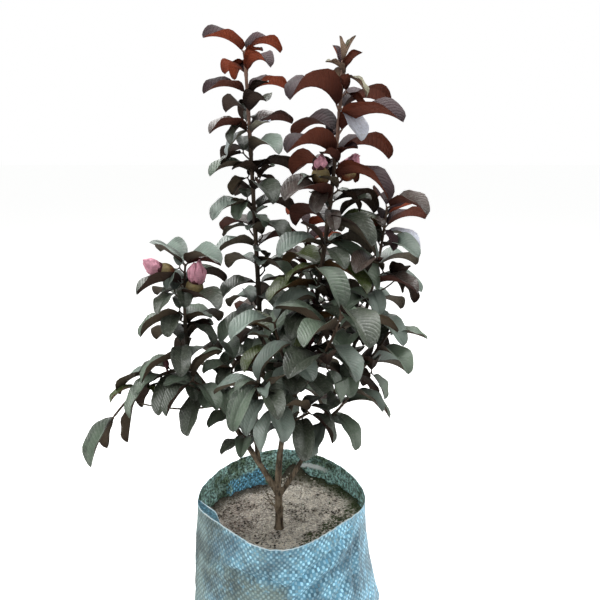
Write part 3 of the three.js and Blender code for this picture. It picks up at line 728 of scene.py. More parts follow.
class Nodes:
    """A node tree, with a short way to add each kind of node."""

    def __init__(self, tree):
        self.tree = tree

    def fill(self, node, inputs):
        """Links the inputs of a node to signals, or sets them to numbers and colours."""
        for key, value in inputs.items():
            socket = node.inputs[key]
            if isinstance(value, Signal):
                self.tree.links.new(value.socket, socket)
            elif socket.type == "RGBA":
                socket.default_value = (*value, 1)
            else:
                socket.default_value = value

    def add(self, kind, inputs=None, output=0, **settings):
        """Adds a node with its settings and inputs, and returns one of its outputs."""
        made = self.tree.nodes.new(kind)
        for key, value in settings.items():
            setattr(made, key, value)
        self.fill(made, inputs or {})
        return Signal(self, made.outputs[output])

    def calc(self, operation, *values, clamp=False):
        """The result of a Math node."""
        return self.add("ShaderNodeMath", dict(enumerate(values)), operation=operation, use_clamp=clamp)

    def blend(self, share, first, second, mode="MIX"):
        """A mix of two colours."""
        inputs = {0: share, 6: first, 7: second}
        return self.add("ShaderNodeMix", inputs, 2, data_type="RGBA", blend_type=mode)

    def paint(self, look, *layers):
        """A colour with layers of (share, colour) over it, each on top of the one before."""
        for share, colour in layers:
            look = self.blend(share, look, colour)
        return look

    def spots(self, where, scale, detail=3.0, rough=0.55):
        """Noise from 0 to 1."""
        inputs = {"Vector": where, "Scale": scale, "Detail": detail, "Roughness": rough}
        return self.add("ShaderNodeTexNoise", inputs, "Fac")

    def place(self, stretch=None):
        """Object coordinates, stretched along the axes where asked."""
        place = self.add("ShaderNodeTexCoord", output="Object")
        return self.add("ShaderNodeMapping", {"Vector": place, "Scale": stretch}) if stretch else place

    def uv(self, layer):
        """One of the piece's own UV maps."""
        return self.add("ShaderNodeUVMap", uv_map=layer)

    def parts(self, vector):
        """The three parts of a vector."""
        node = self.add("ShaderNodeSeparateXYZ", {0: vector}).socket.node
        return [Signal(self, socket) for socket in node.outputs]

    def group(self, name, inputs):
        """The outputs of a node group by name."""
        node = self.add("ShaderNodeGroup", inputs, node_tree=bpy.data.node_groups[name]).socket.node
        return {socket.name: Signal(self, socket) for socket in node.outputs}

    def mottle(self, place, scale, first, second):
        """The Colour and the Mask of uneven patches in two colours."""
        return self.group("Mottle", {"Place": place, "Scale": scale, "First": first, "Second": second})


def new_group(name, inputs, outputs):
    """A node group with named sockets: its nodes, its inputs as signals, and its output node."""
    group = bpy.data.node_groups.new(name, "ShaderNodeTree")
    for key, (kind, value) in inputs.items():
        made = group.interface.new_socket(name=key, in_out="INPUT", socket_type="NodeSocket" + kind)
        if value is not None:
            made.default_value = value
    for key, kind in outputs.items():
        group.interface.new_socket(name=key, in_out="OUTPUT", socket_type="NodeSocket" + kind)
    nodes = Nodes(group)
    given = {socket.name: Signal(nodes, socket) for socket in group.nodes.new("NodeGroupInput").outputs}
    return nodes, given, group.nodes.new("NodeGroupOutput")


def new_material(name):
    """An empty material and its nodes."""
    material = bpy.data.materials.new(name)
    material.use_nodes = True
    material.node_tree.nodes.clear()
    return material, Nodes(material.node_tree)


def shade(nodes, colour, rough, relief=None, specular=0.5, glow=0.0):
    """Gives a material its shader and its output; relief is (height, distance, strength)."""
    inputs = {"Base Color": colour, "Roughness": rough, "Specular IOR Level": specular,
              "Emission Color": (1, 1, 1), "Emission Strength": glow}
    if relief:
        bump = dict(zip(("Height", "Distance", "Strength"), relief))
        inputs["Normal"] = nodes.add("ShaderNodeBump", bump)
    shader = nodes.add("ShaderNodeBsdfPrincipled", inputs)
    nodes.fill(nodes.tree.nodes.new("ShaderNodeOutputMaterial"), {"Surface": shader})


def toned(colour, factor, lift=0.0):
    """The colour made darker or lighter by a factor, and lifted, up to white."""
    return tuple(min(1.0, part * factor + lift) for part in colour)


# --- shared effects


def make_mottle_group():
    """Uneven patches at two scales, on the place that is passed in."""
    nodes, given, result = new_group(
        "Mottle",
        {"Place": ("Vector", None), "Scale": ("Float", 60.0), "First": ("Color", None),
         "Second": ("Color", None)},
        {"Colour": "Color", "Mask": "Float"})
    coarse = nodes.spots(given["Place"], given["Scale"], 4)
    fine = nodes.spots(given["Place"], given["Scale"] * 5.3, 3)
    mask = (coarse * 0.65 + fine * 0.35).climb(0.38, 0.62)
    nodes.fill(result, {"Colour": nodes.blend(mask, given["First"], given["Second"]), "Mask": mask})


def make_vein_group():
    """Side veins that slant across a leaf, from its UV map: across in x, along in y."""
    nodes, given, result = new_group(
        "Leaf veins", {"Place": ("Vector", None), "Veins": ("Float", 13.0)},
        dict.fromkeys(("Side veins", "Quilt", "Pale side"), "Float"))
    x, y, _ = nodes.parts(given["Place"])
    across = x * 2.0 + 0.5
    run = (y - across ** 1.5 * 0.14) * given["Veins"]
    wave = abs(nodes.calc("FRACT", run) - 0.5)
    nodes.fill(result, {
        "Side veins": wave.climb(0.42, 0.49),
        "Quilt": 1.0 - (wave * 2.0) ** 2.5,
        "Pale side": across.climb(0.9, 0.98),
    })


def make_weave_group():
    """Plain weave of flat tapes on a UV map in metres, with a mask of the tapes that lie on top."""
    nodes, given, result = new_group(
        "Tape weave", {"Place": ("Vector", None), "Tape": ("Float", 0.0036)},
        dict.fromkeys(("On top", "Height", "Chance"), "Float"))
    drift = nodes.add("ShaderNodeTexNoise", {"Vector": given["Place"], "Scale": 34.0, "Detail": 5.0,
                                             "Roughness": 0.62}, "Color")
    place = nodes.add("ShaderNodeVectorMath", {0: drift, 1: (0.006, 0.006, 0.0), 2: given["Place"]},
                      operation="MULTIPLY_ADD")
    cells = [nodes.calc("DIVIDE", part, given["Tape"]) for part in nodes.parts(place)[:2]]
    floors = [nodes.calc("FLOOR", cell) for cell in cells]
    parity = nodes.calc("FLOORED_MODULO", floors[0] + floors[1], 2.0)
    domes = [1.0 - abs((nodes.calc("FRACT", cell) - 0.5) * 2.0) ** 2.2 for cell in cells]
    dome = domes[0] * domes[1]
    crossing = nodes.add("ShaderNodeCombineXYZ", dict(enumerate(floors)))
    nodes.fill(result, {
        "On top": parity * dome.climb(0.03, 0.6),
        "Height": (dome * 0.4 + parity * 0.6) * dome,
        "Chance": nodes.add("ShaderNodeTexWhiteNoise", {"Vector": crossing}, "Value", noise_dimensions="2D"),
    })


# --- materials
# Places in the materials are in metres, as Object coordinates are.

# Height of the pale band inside the rim at the back, which is a painted highlight.
HIGHLIGHT_BAND_LEVEL = 0.3185


def leaf_material(tint, colour, below):
    """Leaf blade with veins and quilting; below is the hairy underside."""
    settings = bpy.context.scene.guava_leaf
    material, nodes = new_material("leaf_" + tint + ("_under" if below else ""))
    veins = nodes.group("Leaf veins", {"Place": nodes.uv("surface"), "Veins": float(settings.veins)})
    darker, lighter = toned(colour, 0.42), toned(colour, 1.5, 0.004)
    mottle = nodes.mottle(nodes.place(), 46.0, darker, lighter)
    whole = nodes.blend(nodes.parts(nodes.uv("chance"))[0], darker, lighter)
    vein_colour = toned(colour, 1.5 if below else 1.7, 0.02)
    lines = veins["Side veins"] * 0.55
    look = nodes.paint(whole, (0.42, mottle["Colour"]), (lines * 0.6, vein_colour),
                       (veins["Pale side"] * 0.45, vein_colour))
    # Painted light along the blade: darker towards the base as painted shade near the stem, and brighter in
    # the middle as a painted glow of light through the blade; partly also the leaf's own colour.
    light = nodes.parts(nodes.uv("surface"))[1].span(0.0, 0.5, 0.75, 1.1)
    ends = ((0.45, 0.42, 0.44), (1.25, 1.25, 1.22)) if below else ((0.5,) * 3, (1.15,) * 3)
    look = nodes.blend(1.0, look, nodes.blend(light, *ends), "MULTIPLY")
    if below:
        shade(nodes, look, 0.7, (lines - veins["Quilt"] * 0.5, 0.0008, 0.6), 0.12)
        return material
    # Pale specks on the upper sides of the older leaves: partly dust and partly a painted speckled sheen.
    dust_and_sheen, rough, specular = (0.0, 0.5, 0.12) if tint in YOUNG_TINTS else (0.4, 0.29, 0.75)
    dust = nodes.spots(nodes.place(), 260.0, 4, 0.7).climb(0.5, 0.64)
    look = nodes.paint(look, (dust * dust_and_sheen, settings.dust))
    shade(nodes, look, mottle["Mask"] * 0.08 + rough, (veins["Quilt"], 0.0008, 0.42), specular)
    return material


def mottled_material(name, place, scale, colours, rough, distance, strength=0.6, specular=0.5):
    """A plain mottled material; place is the stretch of its coordinates, or None."""
    material, nodes = new_material(name)
    mottle = nodes.mottle(nodes.place(place), scale, *colours)
    shade(nodes, mottle["Colour"], rough, (mottle["Mask"], distance, strength), specular)
    return material


def stem_material(name, colour, rough):
    """Young wood: streaked along the stem."""
    ends = toned(colour, 0.62), toned(colour, 1.3)
    return mottled_material(name, (1, 1, 0.2), 260.0, ends, rough, 0.0004, specular=0.3)


def bark_material():
    """Thin smooth bark with fibres, cracks and pale dust."""
    settings = bpy.context.scene.guava_wood
    material, nodes = new_material("bark")
    mottle = nodes.mottle(nodes.place((1, 1, 0.16)), 190.0, settings.shade, settings.bark)
    dust = nodes.spots(nodes.place(), 45.0, 4).climb(0.5, 0.68)
    look = nodes.paint(mottle["Colour"], (dust * 0.6, toned(settings.bark, 1.55)))
    shade(nodes, look, 0.82, (mottle["Mask"], 0.0008, 0.8), 0.25)
    return material


def sack_material(name, inside):
    """Woven tapes, with dried mud outside, and algae round a clean patch inside."""
    settings = bpy.context.scene.guava_sack
    material, nodes = new_material(name)
    weave = nodes.group("Tape weave", {"Place": nodes.uv("surface"), "Tape": settings.tape})
    # The cloth inside the rim is drawn a little darker: painted shade inside the sack.
    inside_shade = 0.95 if inside else 1.0
    # Pale on the crowns of the top tapes: partly the tapes' own colour and partly a painted highlight.
    # Darker on the other crossings and towards the gaps: partly the darker tape's own colour and partly
    # painted shade in the gaps.
    rows = [nodes.blend(weave["Chance"], toned(tape, inside_shade * low), toned(tape, inside_shade * high)) for tape, low, high
            in ((settings.dark_tape_and_shade, 0.6, 1.32), (settings.light_tape_and_highlight, 0.55, 1.35))]
    tapes = nodes.blend(weave["On top"], *rows)
    place = nodes.place()
    fine = nodes.spots(place, 95.0, 4, 0.65)
    ragged = nodes.spots(place, 11.0, 5, 0.62) + fine * 0.5
    look, dirt = (inner_cloth if inside else outer_cloth)(nodes, place, tapes, weave["On top"], fine, ragged)
    shade(nodes, look, dirt * 0.5 + 0.4, (weave["Height"], 0.0009, 0.8), 0.35)
    return material


def inner_cloth(nodes, place, tapes, on_top, fine, ragged):
    """Colour of the cloth inside the rim, and how dirty it is."""
    settings = bpy.context.scene.guava_sack
    x, y, z = nodes.parts(place)
    grain = fine - 0.5
    stain = ragged.climb(0.64, 0.84) * 0.9
    algae = nodes.blend(fine.climb(0.42, 0.6), toned(settings.algae, 0.45), settings.algae)
    look = nodes.paint(tapes, (0.68, settings.film), (stain, algae))

    # At the back: bare cloth under the rim, and a level pale band that is a painted highlight of wet cloth
    # catching the light.
    behind = y.climb(0.05, 0.09)
    bare = x.span(-0.02, 0.0, 0.03, 0.05) * behind * (z + x * 0.21).climb(0.324, 0.334)
    look = nodes.blend(bare * fine.climb(0.4, 0.6) * 0.8, look, nodes.blend(0.5, tapes, settings.film))
    away = abs(z + grain * 0.01 - HIGHLIGHT_BAND_LEVEL)
    highlight_band = x.span(0.024, 0.034, 0.07, 0.094) * behind * away.climb(0.0065, 0.002)

    # At the left a clean patch with a ragged edge, and in front the folded corner, which is darkened as
    # painted shade of the fold.
    side = x + grain * 0.05
    patch = side.span(-0.112, -0.098, -0.04, -0.03) * (z - side * 0.25).climb(0.335, 0.318)
    patch = (patch + grain * 3.4).climb(0.4, 0.62) * patch
    corner = y.climb(0.0, -0.012) * 0.6
    # Clean cloth is darker away from the crowns of the top tapes: painted shade in the gaps.
    fresh = nodes.blend(on_top, toned(settings.fresh, 0.52), settings.fresh)
    look = nodes.blend(nodes.calc("MAXIMUM", patch, corner), look, fresh)

    specks = nodes.spots(place, 230.0, 3, 0.6).climb(0.4, 0.62)
    look = nodes.blend(1.0, look, nodes.blend(specks, (0.4, 0.42, 0.4), (1.8, 1.8, 1.8)), "MULTIPLY")
    # The pale band is a painted highlight, and the folded corner is darkened as painted shade.
    look = nodes.paint(look, (highlight_band, toned(settings.edge, 1.3)),
                       (corner * 1.2, toned(settings.dark_tape_and_shade, 0.35)))
    return look, stain


def outer_cloth(nodes, place, tapes, on_top, fine, ragged):
    """Colour of the cloth outside, and how muddy it is: at the left, and low at the front."""
    settings = bpy.context.scene.guava_sack
    x, y, z = nodes.parts(place)
    slant = z + x * 0.22 + (fine - 0.5) * 0.04
    low_front = x.span(-0.112, -0.09, 0.0, 0.03) * y.climb(-0.08, -0.11) * slant.climb(0.262, 0.246)
    left = (ragged - x * 1.9).climb(0.6, 1.1)
    muddy = nodes.calc("MAXIMUM", left * 0.8, low_front * fine.climb(0.28, 0.5) * 0.82)
    # Mud is darker away from the crowns of the top tapes: painted shade in the gaps.
    mud = nodes.blend(on_top, toned(settings.grime, 0.6), settings.grime)
    # A lighter band along a fold at the front: a painted highlight on its ridge.
    ridge_highlight = (z - x * 0.63).span(0.205, 0.235, 0.262, 0.29) * y.climb(0.0, -0.06)
    uneven = nodes.spots(place, 21.0, 4, 0.6) + ridge_highlight * 0.1
    # Broad lighter and darker patches: partly uneven wear of the cloth and partly painted light and shade.
    wear_and_shading = nodes.blend(uneven.climb(0.36, 0.66), (0.56, 0.56, 0.58), (1.3, 1.32, 1.34))
    return nodes.blend(1.0, nodes.blend(muddy, tapes, mud), wear_and_shading, "MULTIPLY"), muddy


def edge_material():
    """Pale cut ends of the tapes."""
    settings = bpy.context.scene.guava_sack
    return mottled_material("sack_edge", None, 120.0, (settings.light_tape_and_highlight, settings.edge), 0.6, 0.0004, 0.5)


def soil_material():
    """Dry sandy crust with small dark pits, damp hollows and moss along the right wall; painted light at the
    front, and painted shade in the pits, on the bank at the back wall and along the back left wall.
    """
    settings = bpy.context.scene.guava_soil
    material, nodes = new_material("soil")
    place = nodes.place()
    x, y, z = nodes.parts(place)
    mottle = nodes.mottle(place, 130.0, settings.damp, settings.dry)
    grit = nodes.spots(place, 270.0, 3, 0.7)
    pits = nodes.spots(place, 230.0, 2, 0.5)
    broad = nodes.spots(place, 24.0, 4, 0.6)
    flats = nodes.spots(place, 17.0, 3, 0.6).climb(0.42, 0.58)
    rough = 1.0 - flats * 0.6
    hole = pits.climb(0.53, 0.61) * 0.95 * rough
    bright = nodes.calc("MULTIPLY", grit.climb(0.49, 0.6), flats + 0.6, clamp=True)
    blotch = nodes.spots(place, 85.0, 4, 0.7).climb(0.5, 0.62) * rough
    wall = (nodes.calc("SQRT", x * x + y * y) + broad * 0.05).climb(0.135, 0.172)
    right = nodes.calc("ADD", x.climb(-0.02, 0.09), 0.3, clamp=True)
    strip = x * 0.8 - y * 0.6 + (broad - 0.5) * 0.09
    look = nodes.paint(
        mottle["Colour"],
        (flats * 0.5, settings.dry),
        (x.climb(0.0, -0.08) * 0.55, settings.brown),
        # Lighter towards the front: painted light where the soil lies out of the crown's shade.
        (y.climb(-0.05, -0.1) * 0.8, toned(settings.dry, 1.25)),
        (bright * 0.85, settings.sand),
        (blotch * 0.5, toned(settings.damp, 0.5)),
        # Near black in the small pits: painted shade in them.
        (hole, settings.pit),
        # Darker where the soil lies high, mostly on the bank at the back wall: painted shade there.
        (z.climb(0.293, 0.303) * 0.75, toned(settings.damp, 0.55)),
        (wall * right * 0.9, settings.moss),
        (strip.climb(0.076, 0.082) * pits.climb(0.4, 0.5) * 0.85, toned(settings.moss, 0.8)),
        # Darker along the wall at the back and the left: painted shade.
        (wall * (y - x).climb(0.0, 0.12) * 0.7, toned(settings.damp, 0.6)))
    shade(nodes, look, 0.95, (mottle["Mask"] + (grit * 0.8 - hole), 0.0032, 1.0), 0.15)
    return material


def crumb_material(name, colour):
    """One kind of loose crumb."""
    return mottled_material(name, None, 300.0, (toned(colour, 0.6), colour), 0.95, 0.0005)


def blossom_material(name, ends, scale, rough, high):
    """A soft blend of two colours from the foot of a flower's piece to a share of its height."""
    material, nodes = new_material(name)
    mottle = nodes.mottle(nodes.place(), scale, (0.62, 0.62, 0.62), (1.0, 1.0, 1.0))
    up = nodes.parts(nodes.uv("surface"))[1] + (mottle["Mask"] - 0.5) * 0.25
    look = nodes.blend(1.0, nodes.blend(up.climb(0.1, high), *ends), mottle["Colour"], "MULTIPLY")
    shade(nodes, look, rough, (mottle["Mask"], 0.0006, 0.6), 0.3)
    return material


# --- sack shape


def smooth_rows(shares, values, share):
    """Values at an array of shares, on a smooth curve through the rows of a profile."""
    shares, values = np.asarray(shares, float), np.asarray(values, float)
    slopes = np.gradient(values, shares)
    index = np.clip(np.searchsorted(shares, share) - 1, 0, len(shares) - 2)
    step = shares[index + 1] - shares[index]
    t = (share - shares[index]) / step
    return ((1 + 2 * t) * (1 - t) ** 2 * values[index] + t * (1 - t) ** 2 * step * slopes[index]
            + t * t * (3 - 2 * t) * values[index + 1] + t * t * (t - 1) * step * slopes[index + 1])


def noises(points):
    """Smooth noise at each row of an array of places."""
    return np.array([noise.noise(Vector(point)) for point in points])


# Creases in the cloth: heading in degrees and height at both ends, depth and half width.
CREASES = (
    (-150, 254, -118, 267, 4.5, 6.5),
    (-118, 267, -98, 265, 4.5, 6.0),
    (-98, 265, -86, 249, 5.0, 6.0),
    (-85, 248, -72, 274, 5.0, 6.0),
    (-72, 274, -36, 312, 6.0, 7.0),
    (-80, 228, -62, 257, 4.0, 7.0),
    (-62, 257, -42, 266, 3.5, 7.0),
    (-42, 240, -66, 186, 4.0, 8.0),
    (-66, 186, -82, 150, 3.0, 9.0),
    (-128, 190, -104, 150, 3.0, 9.0),
    (-30, 300, -38, 220, 3.0, 8.0),
    (12, 305, 30, 190, 4.5, 9.0),
    (58, 330, 44, 230, 4.0, 9.0),
    (96, 330, 112, 220, 4.5, 10.0),
    (140, 320, 128, 200, 4.0, 9.0),
    (172, 310, 190, 190, 4.5, 9.0),
    (-12, 150, 10, 70, 4.0, 10.0),
    (75, 150, 96, 60, 4.0, 10.0),
    (-160, 150, -142, 70, 4.0, 10.0),
    (-90, 110, -70, 50, 4.0, 10.0),
)
MEAN_RADIUS = 165


def corner_share(angle):
    """How near a heading is to one of the two front corners, from 0 to 1."""
    return np.where(np.sin(angle) < 0, np.sin(2 * angle) ** 2, 0)


def rim_height(angle, height):
    """Height of the rim: high at the back, at both sides and at the two front corners."""
    back = np.maximum(0.0, np.sin(angle)) ** 1.5
    side = np.cos(angle) ** 6
    return height + RIM_BACK_RISE * back + RIM_CORNER_RISE * corner_share(angle) + RIM_SIDE_RISE * side


def crease_depth(angle, z, fold):
    """How far the cloth is drawn in by its creases."""
    depth = np.zeros(len(angle))
    for first, low, second, high, strength, width in CREASES:
        run = np.array([math.radians(second - first) * MEAN_RADIUS, high - low])
        turn = (angle - math.radians(first) + math.pi) % (2 * math.pi) - math.pi
        offset = np.stack([turn * MEAN_RADIUS, z - low], axis=1)
        share = np.clip(offset @ run / (run @ run), 0, 1)
        away = np.linalg.norm(offset - share[:, None] * run, axis=1) / width
        ends = np.sin(math.pi * (0.12 + 0.76 * share))
        depth += strength * ends * (np.exp(-away ** 2) - 0.45 * np.exp(-(away - 1.7) ** 2))
    return depth * fold / 5


def sack_points(angle, share, inset, settings):
    """Points on the sack at angles and shares of its height, drawn in by insets."""
    angle, share, inset = np.broadcast_arrays(np.atleast_1d(angle), share, inset)
    pinch = RIM_CORNER_PINCH * corner_share(angle) * share ** 3
    radius = smooth_rows(SACK_SHARES, SACK_RADII, share) - pinch
    sag = smooth_rows(SACK_SHARES, SACK_SAGS, share)
    z = rim_height(angle, settings.height / MM) * share
    flat = np.stack([np.cos(angle), np.sin(angle)], axis=1)
    bulge = sum(depth * noises(np.column_stack([flat * around, z * up]))
                for depth, around, up in SACK_BULGES)
    calm = 1 - 0.6 * np.maximum(0.0, share - 0.85) / 0.15
    push = bulge * calm - crease_depth(angle, z, settings.fold / MM)
    radius = radius + np.minimum(1.0, share * 8) * push - inset
    ragged = 1.3 * noises(np.column_stack([flat * 14, share])) * share ** 30
    return np.column_stack([radius * flat[:, 0] + sag, radius * flat[:, 1], z + ragged])


def build_sack():
    """The sack as one closed shell: outer wall, cut rim, inner wall and foot."""
    settings = bpy.context.scene.guava_sack
    around, rows, inner_rows, inner_foot, hem = 288, 84, 24, 0.7, 0.0055
    outer = np.append(np.linspace(0, 1 - hem, rows), 1)
    shares = np.concatenate([outer, np.linspace(1, inner_foot, inner_rows + 1)])
    insets = np.where(np.arange(len(shares)) > rows, settings.cloth / MM, 0.0)
    shape = grid(around, len(shares) - 1)
    layer = shape.loops.layers.uv.new("surface")
    columns = np.array([round((vert.co.x + 1) / 2 * around) for vert in shape.verts])
    levels = np.array([round((vert.co.y + 1) / 2 * (len(shares) - 1)) for vert in shape.verts])
    angles = 2 * math.pi * (columns % around) / around
    places = sack_points(angles, shares[levels], insets[levels], settings) * MM
    for vert, place in zip(shape.verts, places):
        vert.co = place
    for face in shape.faces:
        row = max(levels[vert.index] for vert in face.verts)
        face.material_index = 0 if row < rows else 2 if row <= rows + 1 else 1
        for loop in face.loops:
            index = loop.vert.index
            along = 2 * math.pi * columns[index] / around * MEAN_RADIUS * MM
            loop[layer].uv = (along, shares[levels[index]] * settings.height)
    bmesh.ops.remove_doubles(shape, verts=shape.verts, dist=1e-5)
    close(shape)
    mesh = made_mesh("sack_cloth", shape, sack_material("woven_sack", False),
                     sack_material("woven_sack_inside", True), edge_material())
    return finish_piece("woven_sack", mesh, ["sack"])


def build_pleat():
    """The cloth folded over the left front corner of the rim, as a closed triangular sheet."""
    settings = bpy.context.scene.guava_sack
    cells = 12
    angles = np.radians(PLEAT["headings"])
    left, front = sack_points(angles, 0.998, 1.2, settings)
    corner = np.array([left[0] + PLEAT["inward"], (left[1] + front[1]) * 0.4,
                       settings.height / MM + PLEAT["up"]])
    shape = grid(cells, cells)
    layer = shape.loops.layers.uv.new("surface")
    for vert in shape.verts:
        along, inward = (vert.co.x + 1) / 2, (vert.co.y + 1) / 2
        rim = sack_points(between(angles, along), 0.995, 1.3, settings)[0]
        hem = left + (corner - left) * min(1, along * 1.6) + (front - corner) * max(0, along * 1.6 - 1) / 0.6
        sag = PLEAT["sag"] * math.sin(math.pi * along) * math.sin(math.pi * inward)
        vert.co = (between((rim, hem), inward) - UP * sag) * MM
    for face in shape.faces:
        face.material_index = 1 if max(vert.index for vert in face.verts) >= cells * (cells + 1) else 0
        for loop in face.loops:
            loop[layer].uv = (loop.vert.co.x * 1.2, loop.vert.co.y * 1.2)
    thicken(shape, PLEAT["thickness"] * MM)
    bmesh.ops.recalc_face_normals(shape, faces=shape.faces)
    mesh = made_mesh("sack_pleat", shape, sack_material("pleat_cloth", True), edge_material())
    return finish_piece("sack_pleat", mesh)


# --- soil shape


def soil_height(x, y, level):
    """Height of the soil without its lumps."""
    back_left = (y - TRUNK_FOOT[1] - (x - TRUNK_FOOT[0])) / math.sqrt(2)
    fallen = np.clip((back_left - SOIL_FALL["start"]) / SOIL_FALL["reach"], 0, 1)
    return level - SOIL_FALL["depth"] * fallen


def soil_points(angle, reach, settings, sack):
    """Points of the soil's surface at angles and shares of the way to the wall."""
    ring = soil_height(150 * np.cos(angle), 150 * np.sin(angle), settings.level / MM)
    guess = ring / rim_height(angle, sack.height / MM)
    inset = sack.cloth / MM + 0.6
    walls = [sack_points(angle, guess + step, inset, sack)[:, :2] for step in (-0.025, 0, 0.025)]
    narrowest = np.argmin([np.hypot(*wall.T) for wall in walls], axis=0)
    x, y = np.array(walls)[narrowest, np.arange(len(narrowest))].T * reach
    lumps = np.zeros(len(x))
    for scale, height in LUMPS:
        lumps += height * noises(np.column_stack([x * scale, y * scale, np.full(len(x), 7.0)]))
    foot = np.hypot(x - TRUNK_FOOT[0], y - TRUNK_FOOT[1])
    mound = SOIL_MOUND["height"] * np.exp(-(foot / SOIL_MOUND["reach"]) ** 2)
    brim = SOIL_BRIM["height"] * np.maximum(0.0, reach - SOIL_BRIM["from"]) / (1 - SOIL_BRIM["from"])
    bank = SOIL_BANK["height"] * np.exp(-((x - SOIL_BANK["x"]) / SOIL_BANK["width"]) ** 2
                                        - ((y - SOIL_BANK["y"]) / SOIL_BANK["depth"]) ** 2)
    z = soil_height(x, y, settings.level / MM) + settings.relief / MM * lumps + mound + brim + bank
    return np.column_stack([x, y, z])


def build_soil():
    """The soil's crust to the sack's wall, with a short skirt below it."""
    scene = bpy.context.scene
    cells = 190
    shape = grid(cells, cells)
    square = np.array([vert.co for vert in shape.verts])
    angles = np.arctan2(square[:, 1], square[:, 0])
    reach = np.abs(square[:, :2]).max(axis=1)
    places = soil_points(angles, reach, scene.guava_soil, scene.guava_sack) * MM
    for vert, place in zip(shape.verts, places):
        vert.co = place
    rim = [edge for edge in shape.edges if edge.is_boundary]
    skirt = bmesh.ops.extrude_edge_only(shape, edges=rim)["geom"]
    low = [item for item in skirt if isinstance(item, bmesh.types.BMVert)]
    for vert in low:
        vert.co = (vert.co.x * 0.93, vert.co.y * 0.93, scene.guava_soil.level - SKIRT * MM)
    close(shape)
    return finish_piece("soil_crust", made_mesh("soil_crust", shape, soil_material()), ["soil"])


def build_crumbs():
    """Loose crumbs and small stones on the soil."""
    scene = bpy.context.scene
    settings = scene.guava_soil
    pebble = bmesh.new()
    bmesh.ops.create_icosphere(pebble, subdivisions=1, radius=1)
    corners = np.array([vert.co for vert in pebble.verts])
    faces = [[vert.index for vert in face.verts] for face in pebble.faces]
    pebble.free()
    deal = dealer(FIRST_SEED)
    luck = np.array([[next(deal) for _ in range(5)] for _ in range(settings.crumbs)])
    places = soil_points(2 * math.pi * luck[:, 0], np.sqrt(luck[:, 1]) * 0.97, settings, scene.guava_sack)
    batch = Batch()
    for place, (_, _, size, kind, flat) in zip(places, luck):
        radius = 0.6 + 2.2 * size ** 4
        lumpy = 1 + 0.3 * noises(corners * 1.7 + place)
        shape = corners * lumpy[:, None] * radius * np.array([1, 1, 0.5 + 0.4 * flat])
        slot = 2 if kind > 0.93 and place[0] > 40 else 1 if kind > 0.62 else 0
        batch.add(shape + place + UP * radius * 0.15, faces, slot)
    materials = (crumb_material("crumb_pale", settings.dry), crumb_material("crumb_dark", settings.damp),
                 crumb_material("crumb_moss", settings.moss))
    return finish_piece("soil_crumbs", batch.mesh("soil_crumbs", materials), smooth=False)


# --- bark


def limb_radius(limb):
    """Radius of a limb at a share of its length, with its root flare and old leaf scars."""
    rings = max(2, round(limb["length"] / SCAR_STEP))

    def radius(share):
        flare = 0.0 if "on" in limb else ROOT_FLARE * max(0.0, 1 - share / FLARE_REACH) ** 2
        scar = max(0.0, math.cos(2 * math.pi * share * rings)) ** 12
        return between(limb["radius"], share) * (1 + flare + SCAR_SWELL * scar)

    return radius


def add_limb(shape, bend, radius, steps, sides=14, ends=(0.0, 1.0)):
    """A closed limb in a bmesh: rings along the bend, bridged and capped."""
    rings = []
    for share in np.linspace(ends[0], ends[1], steps + 1):
        along = Vector(bend.tangent(share))
        turn = along.to_track_quat("Z", "Y").to_matrix().to_4x4()
        place = Matrix.Translation(Vector(bend.point(share) * MM)) @ turn
        made = bmesh.ops.create_circle(shape, cap_ends=False, radius=radius(share) * MM, segments=sides,
                                       matrix=place)
        rings.append({edge for vert in made["verts"] for edge in vert.link_edges})
    for low, high in zip(rings, rings[1:]):
        bmesh.ops.bridge_loops(shape, edges=list(low | high))
    bmesh.ops.holes_fill(shape, edges=list(rings[0] | rings[-1]), sides=sides)


# Dead side twigs: the limb that carries them, share of its length, heading, climb, length, bow
# and radius.
DEAD_TWIGS = (
    ("trunk", 0.36, 176, 60, 62, 2, 1.5),
    ("trunk", 0.44, 196, 48, 44, 2, 1.5),
    ("trunk", 0.6, 160, 74, 40, 2, 1.5),
    ("trunk", 0.66, 176, 40, 26, 2, 1.5),
    ("left_bough", 0.69, 186, 4, 134, -9, 2.2),
)


def build_bark():
    """Trunk and boughs joined into one skin with the bark's relief."""
    settings = bpy.context.scene.guava_wood
    bends = limb_bends()
    shape = bmesh.new()
    for limb in LIMBS:
        ends = (0.0, 1.0) if "on" in limb else (-0.08, 1.0)
        add_limb(shape, bends[limb["name"]], limb_radius(limb), round(limb["length"] / RING_STEP), ends=ends)
    for limb, at, heading, climb, length, bow, stout in DEAD_TWIGS:
        twig = limb_bend(bends[limb].point(at), {"heading": heading, "climb": climb, "length": length,
                                                 "bow": (0, 0, bow)})
        add_limb(shape, twig, lambda share: stout - 0.7 * share, round(length / RING_STEP), 8)
        if limb == "trunk":
            fork = limb_bend(twig.point(0.5), {"heading": heading + 50, "climb": climb - 14,
                                               "length": length * 0.45, "bow": (0, 0, 1)})
            add_limb(shape, fork, lambda share: 1.0 - 0.4 * share, 5, 8)
    bmesh.ops.recalc_face_normals(shape, faces=shape.faces)
    skin = remeshed(made_mesh("bark_rough", shape), settings.detail)
    shape = bmesh.new()
    shape.from_mesh(skin)
    bmesh.ops.smooth_vert(shape, verts=shape.verts, factor=0.5, use_axis_x=True, use_axis_y=True,
                          use_axis_z=True)
    shape.normal_update()
    for vert in shape.verts:
        place = vert.co / MM
        fibre = noise.noise(Vector((place.x * 0.55, place.y * 0.55, place.z * 0.09)))
        knot = noise.noise(Vector((place.x * 0.2, place.y * 0.2, place.z * 0.12 + 40)))
        vert.co += vert.normal * settings.relief * (fibre + 0.8 * knot)
    mesh = made_mesh("bark", shape, bark_material())
    return finish_piece("bark", mesh, [limb["name"] for limb in LIMBS])


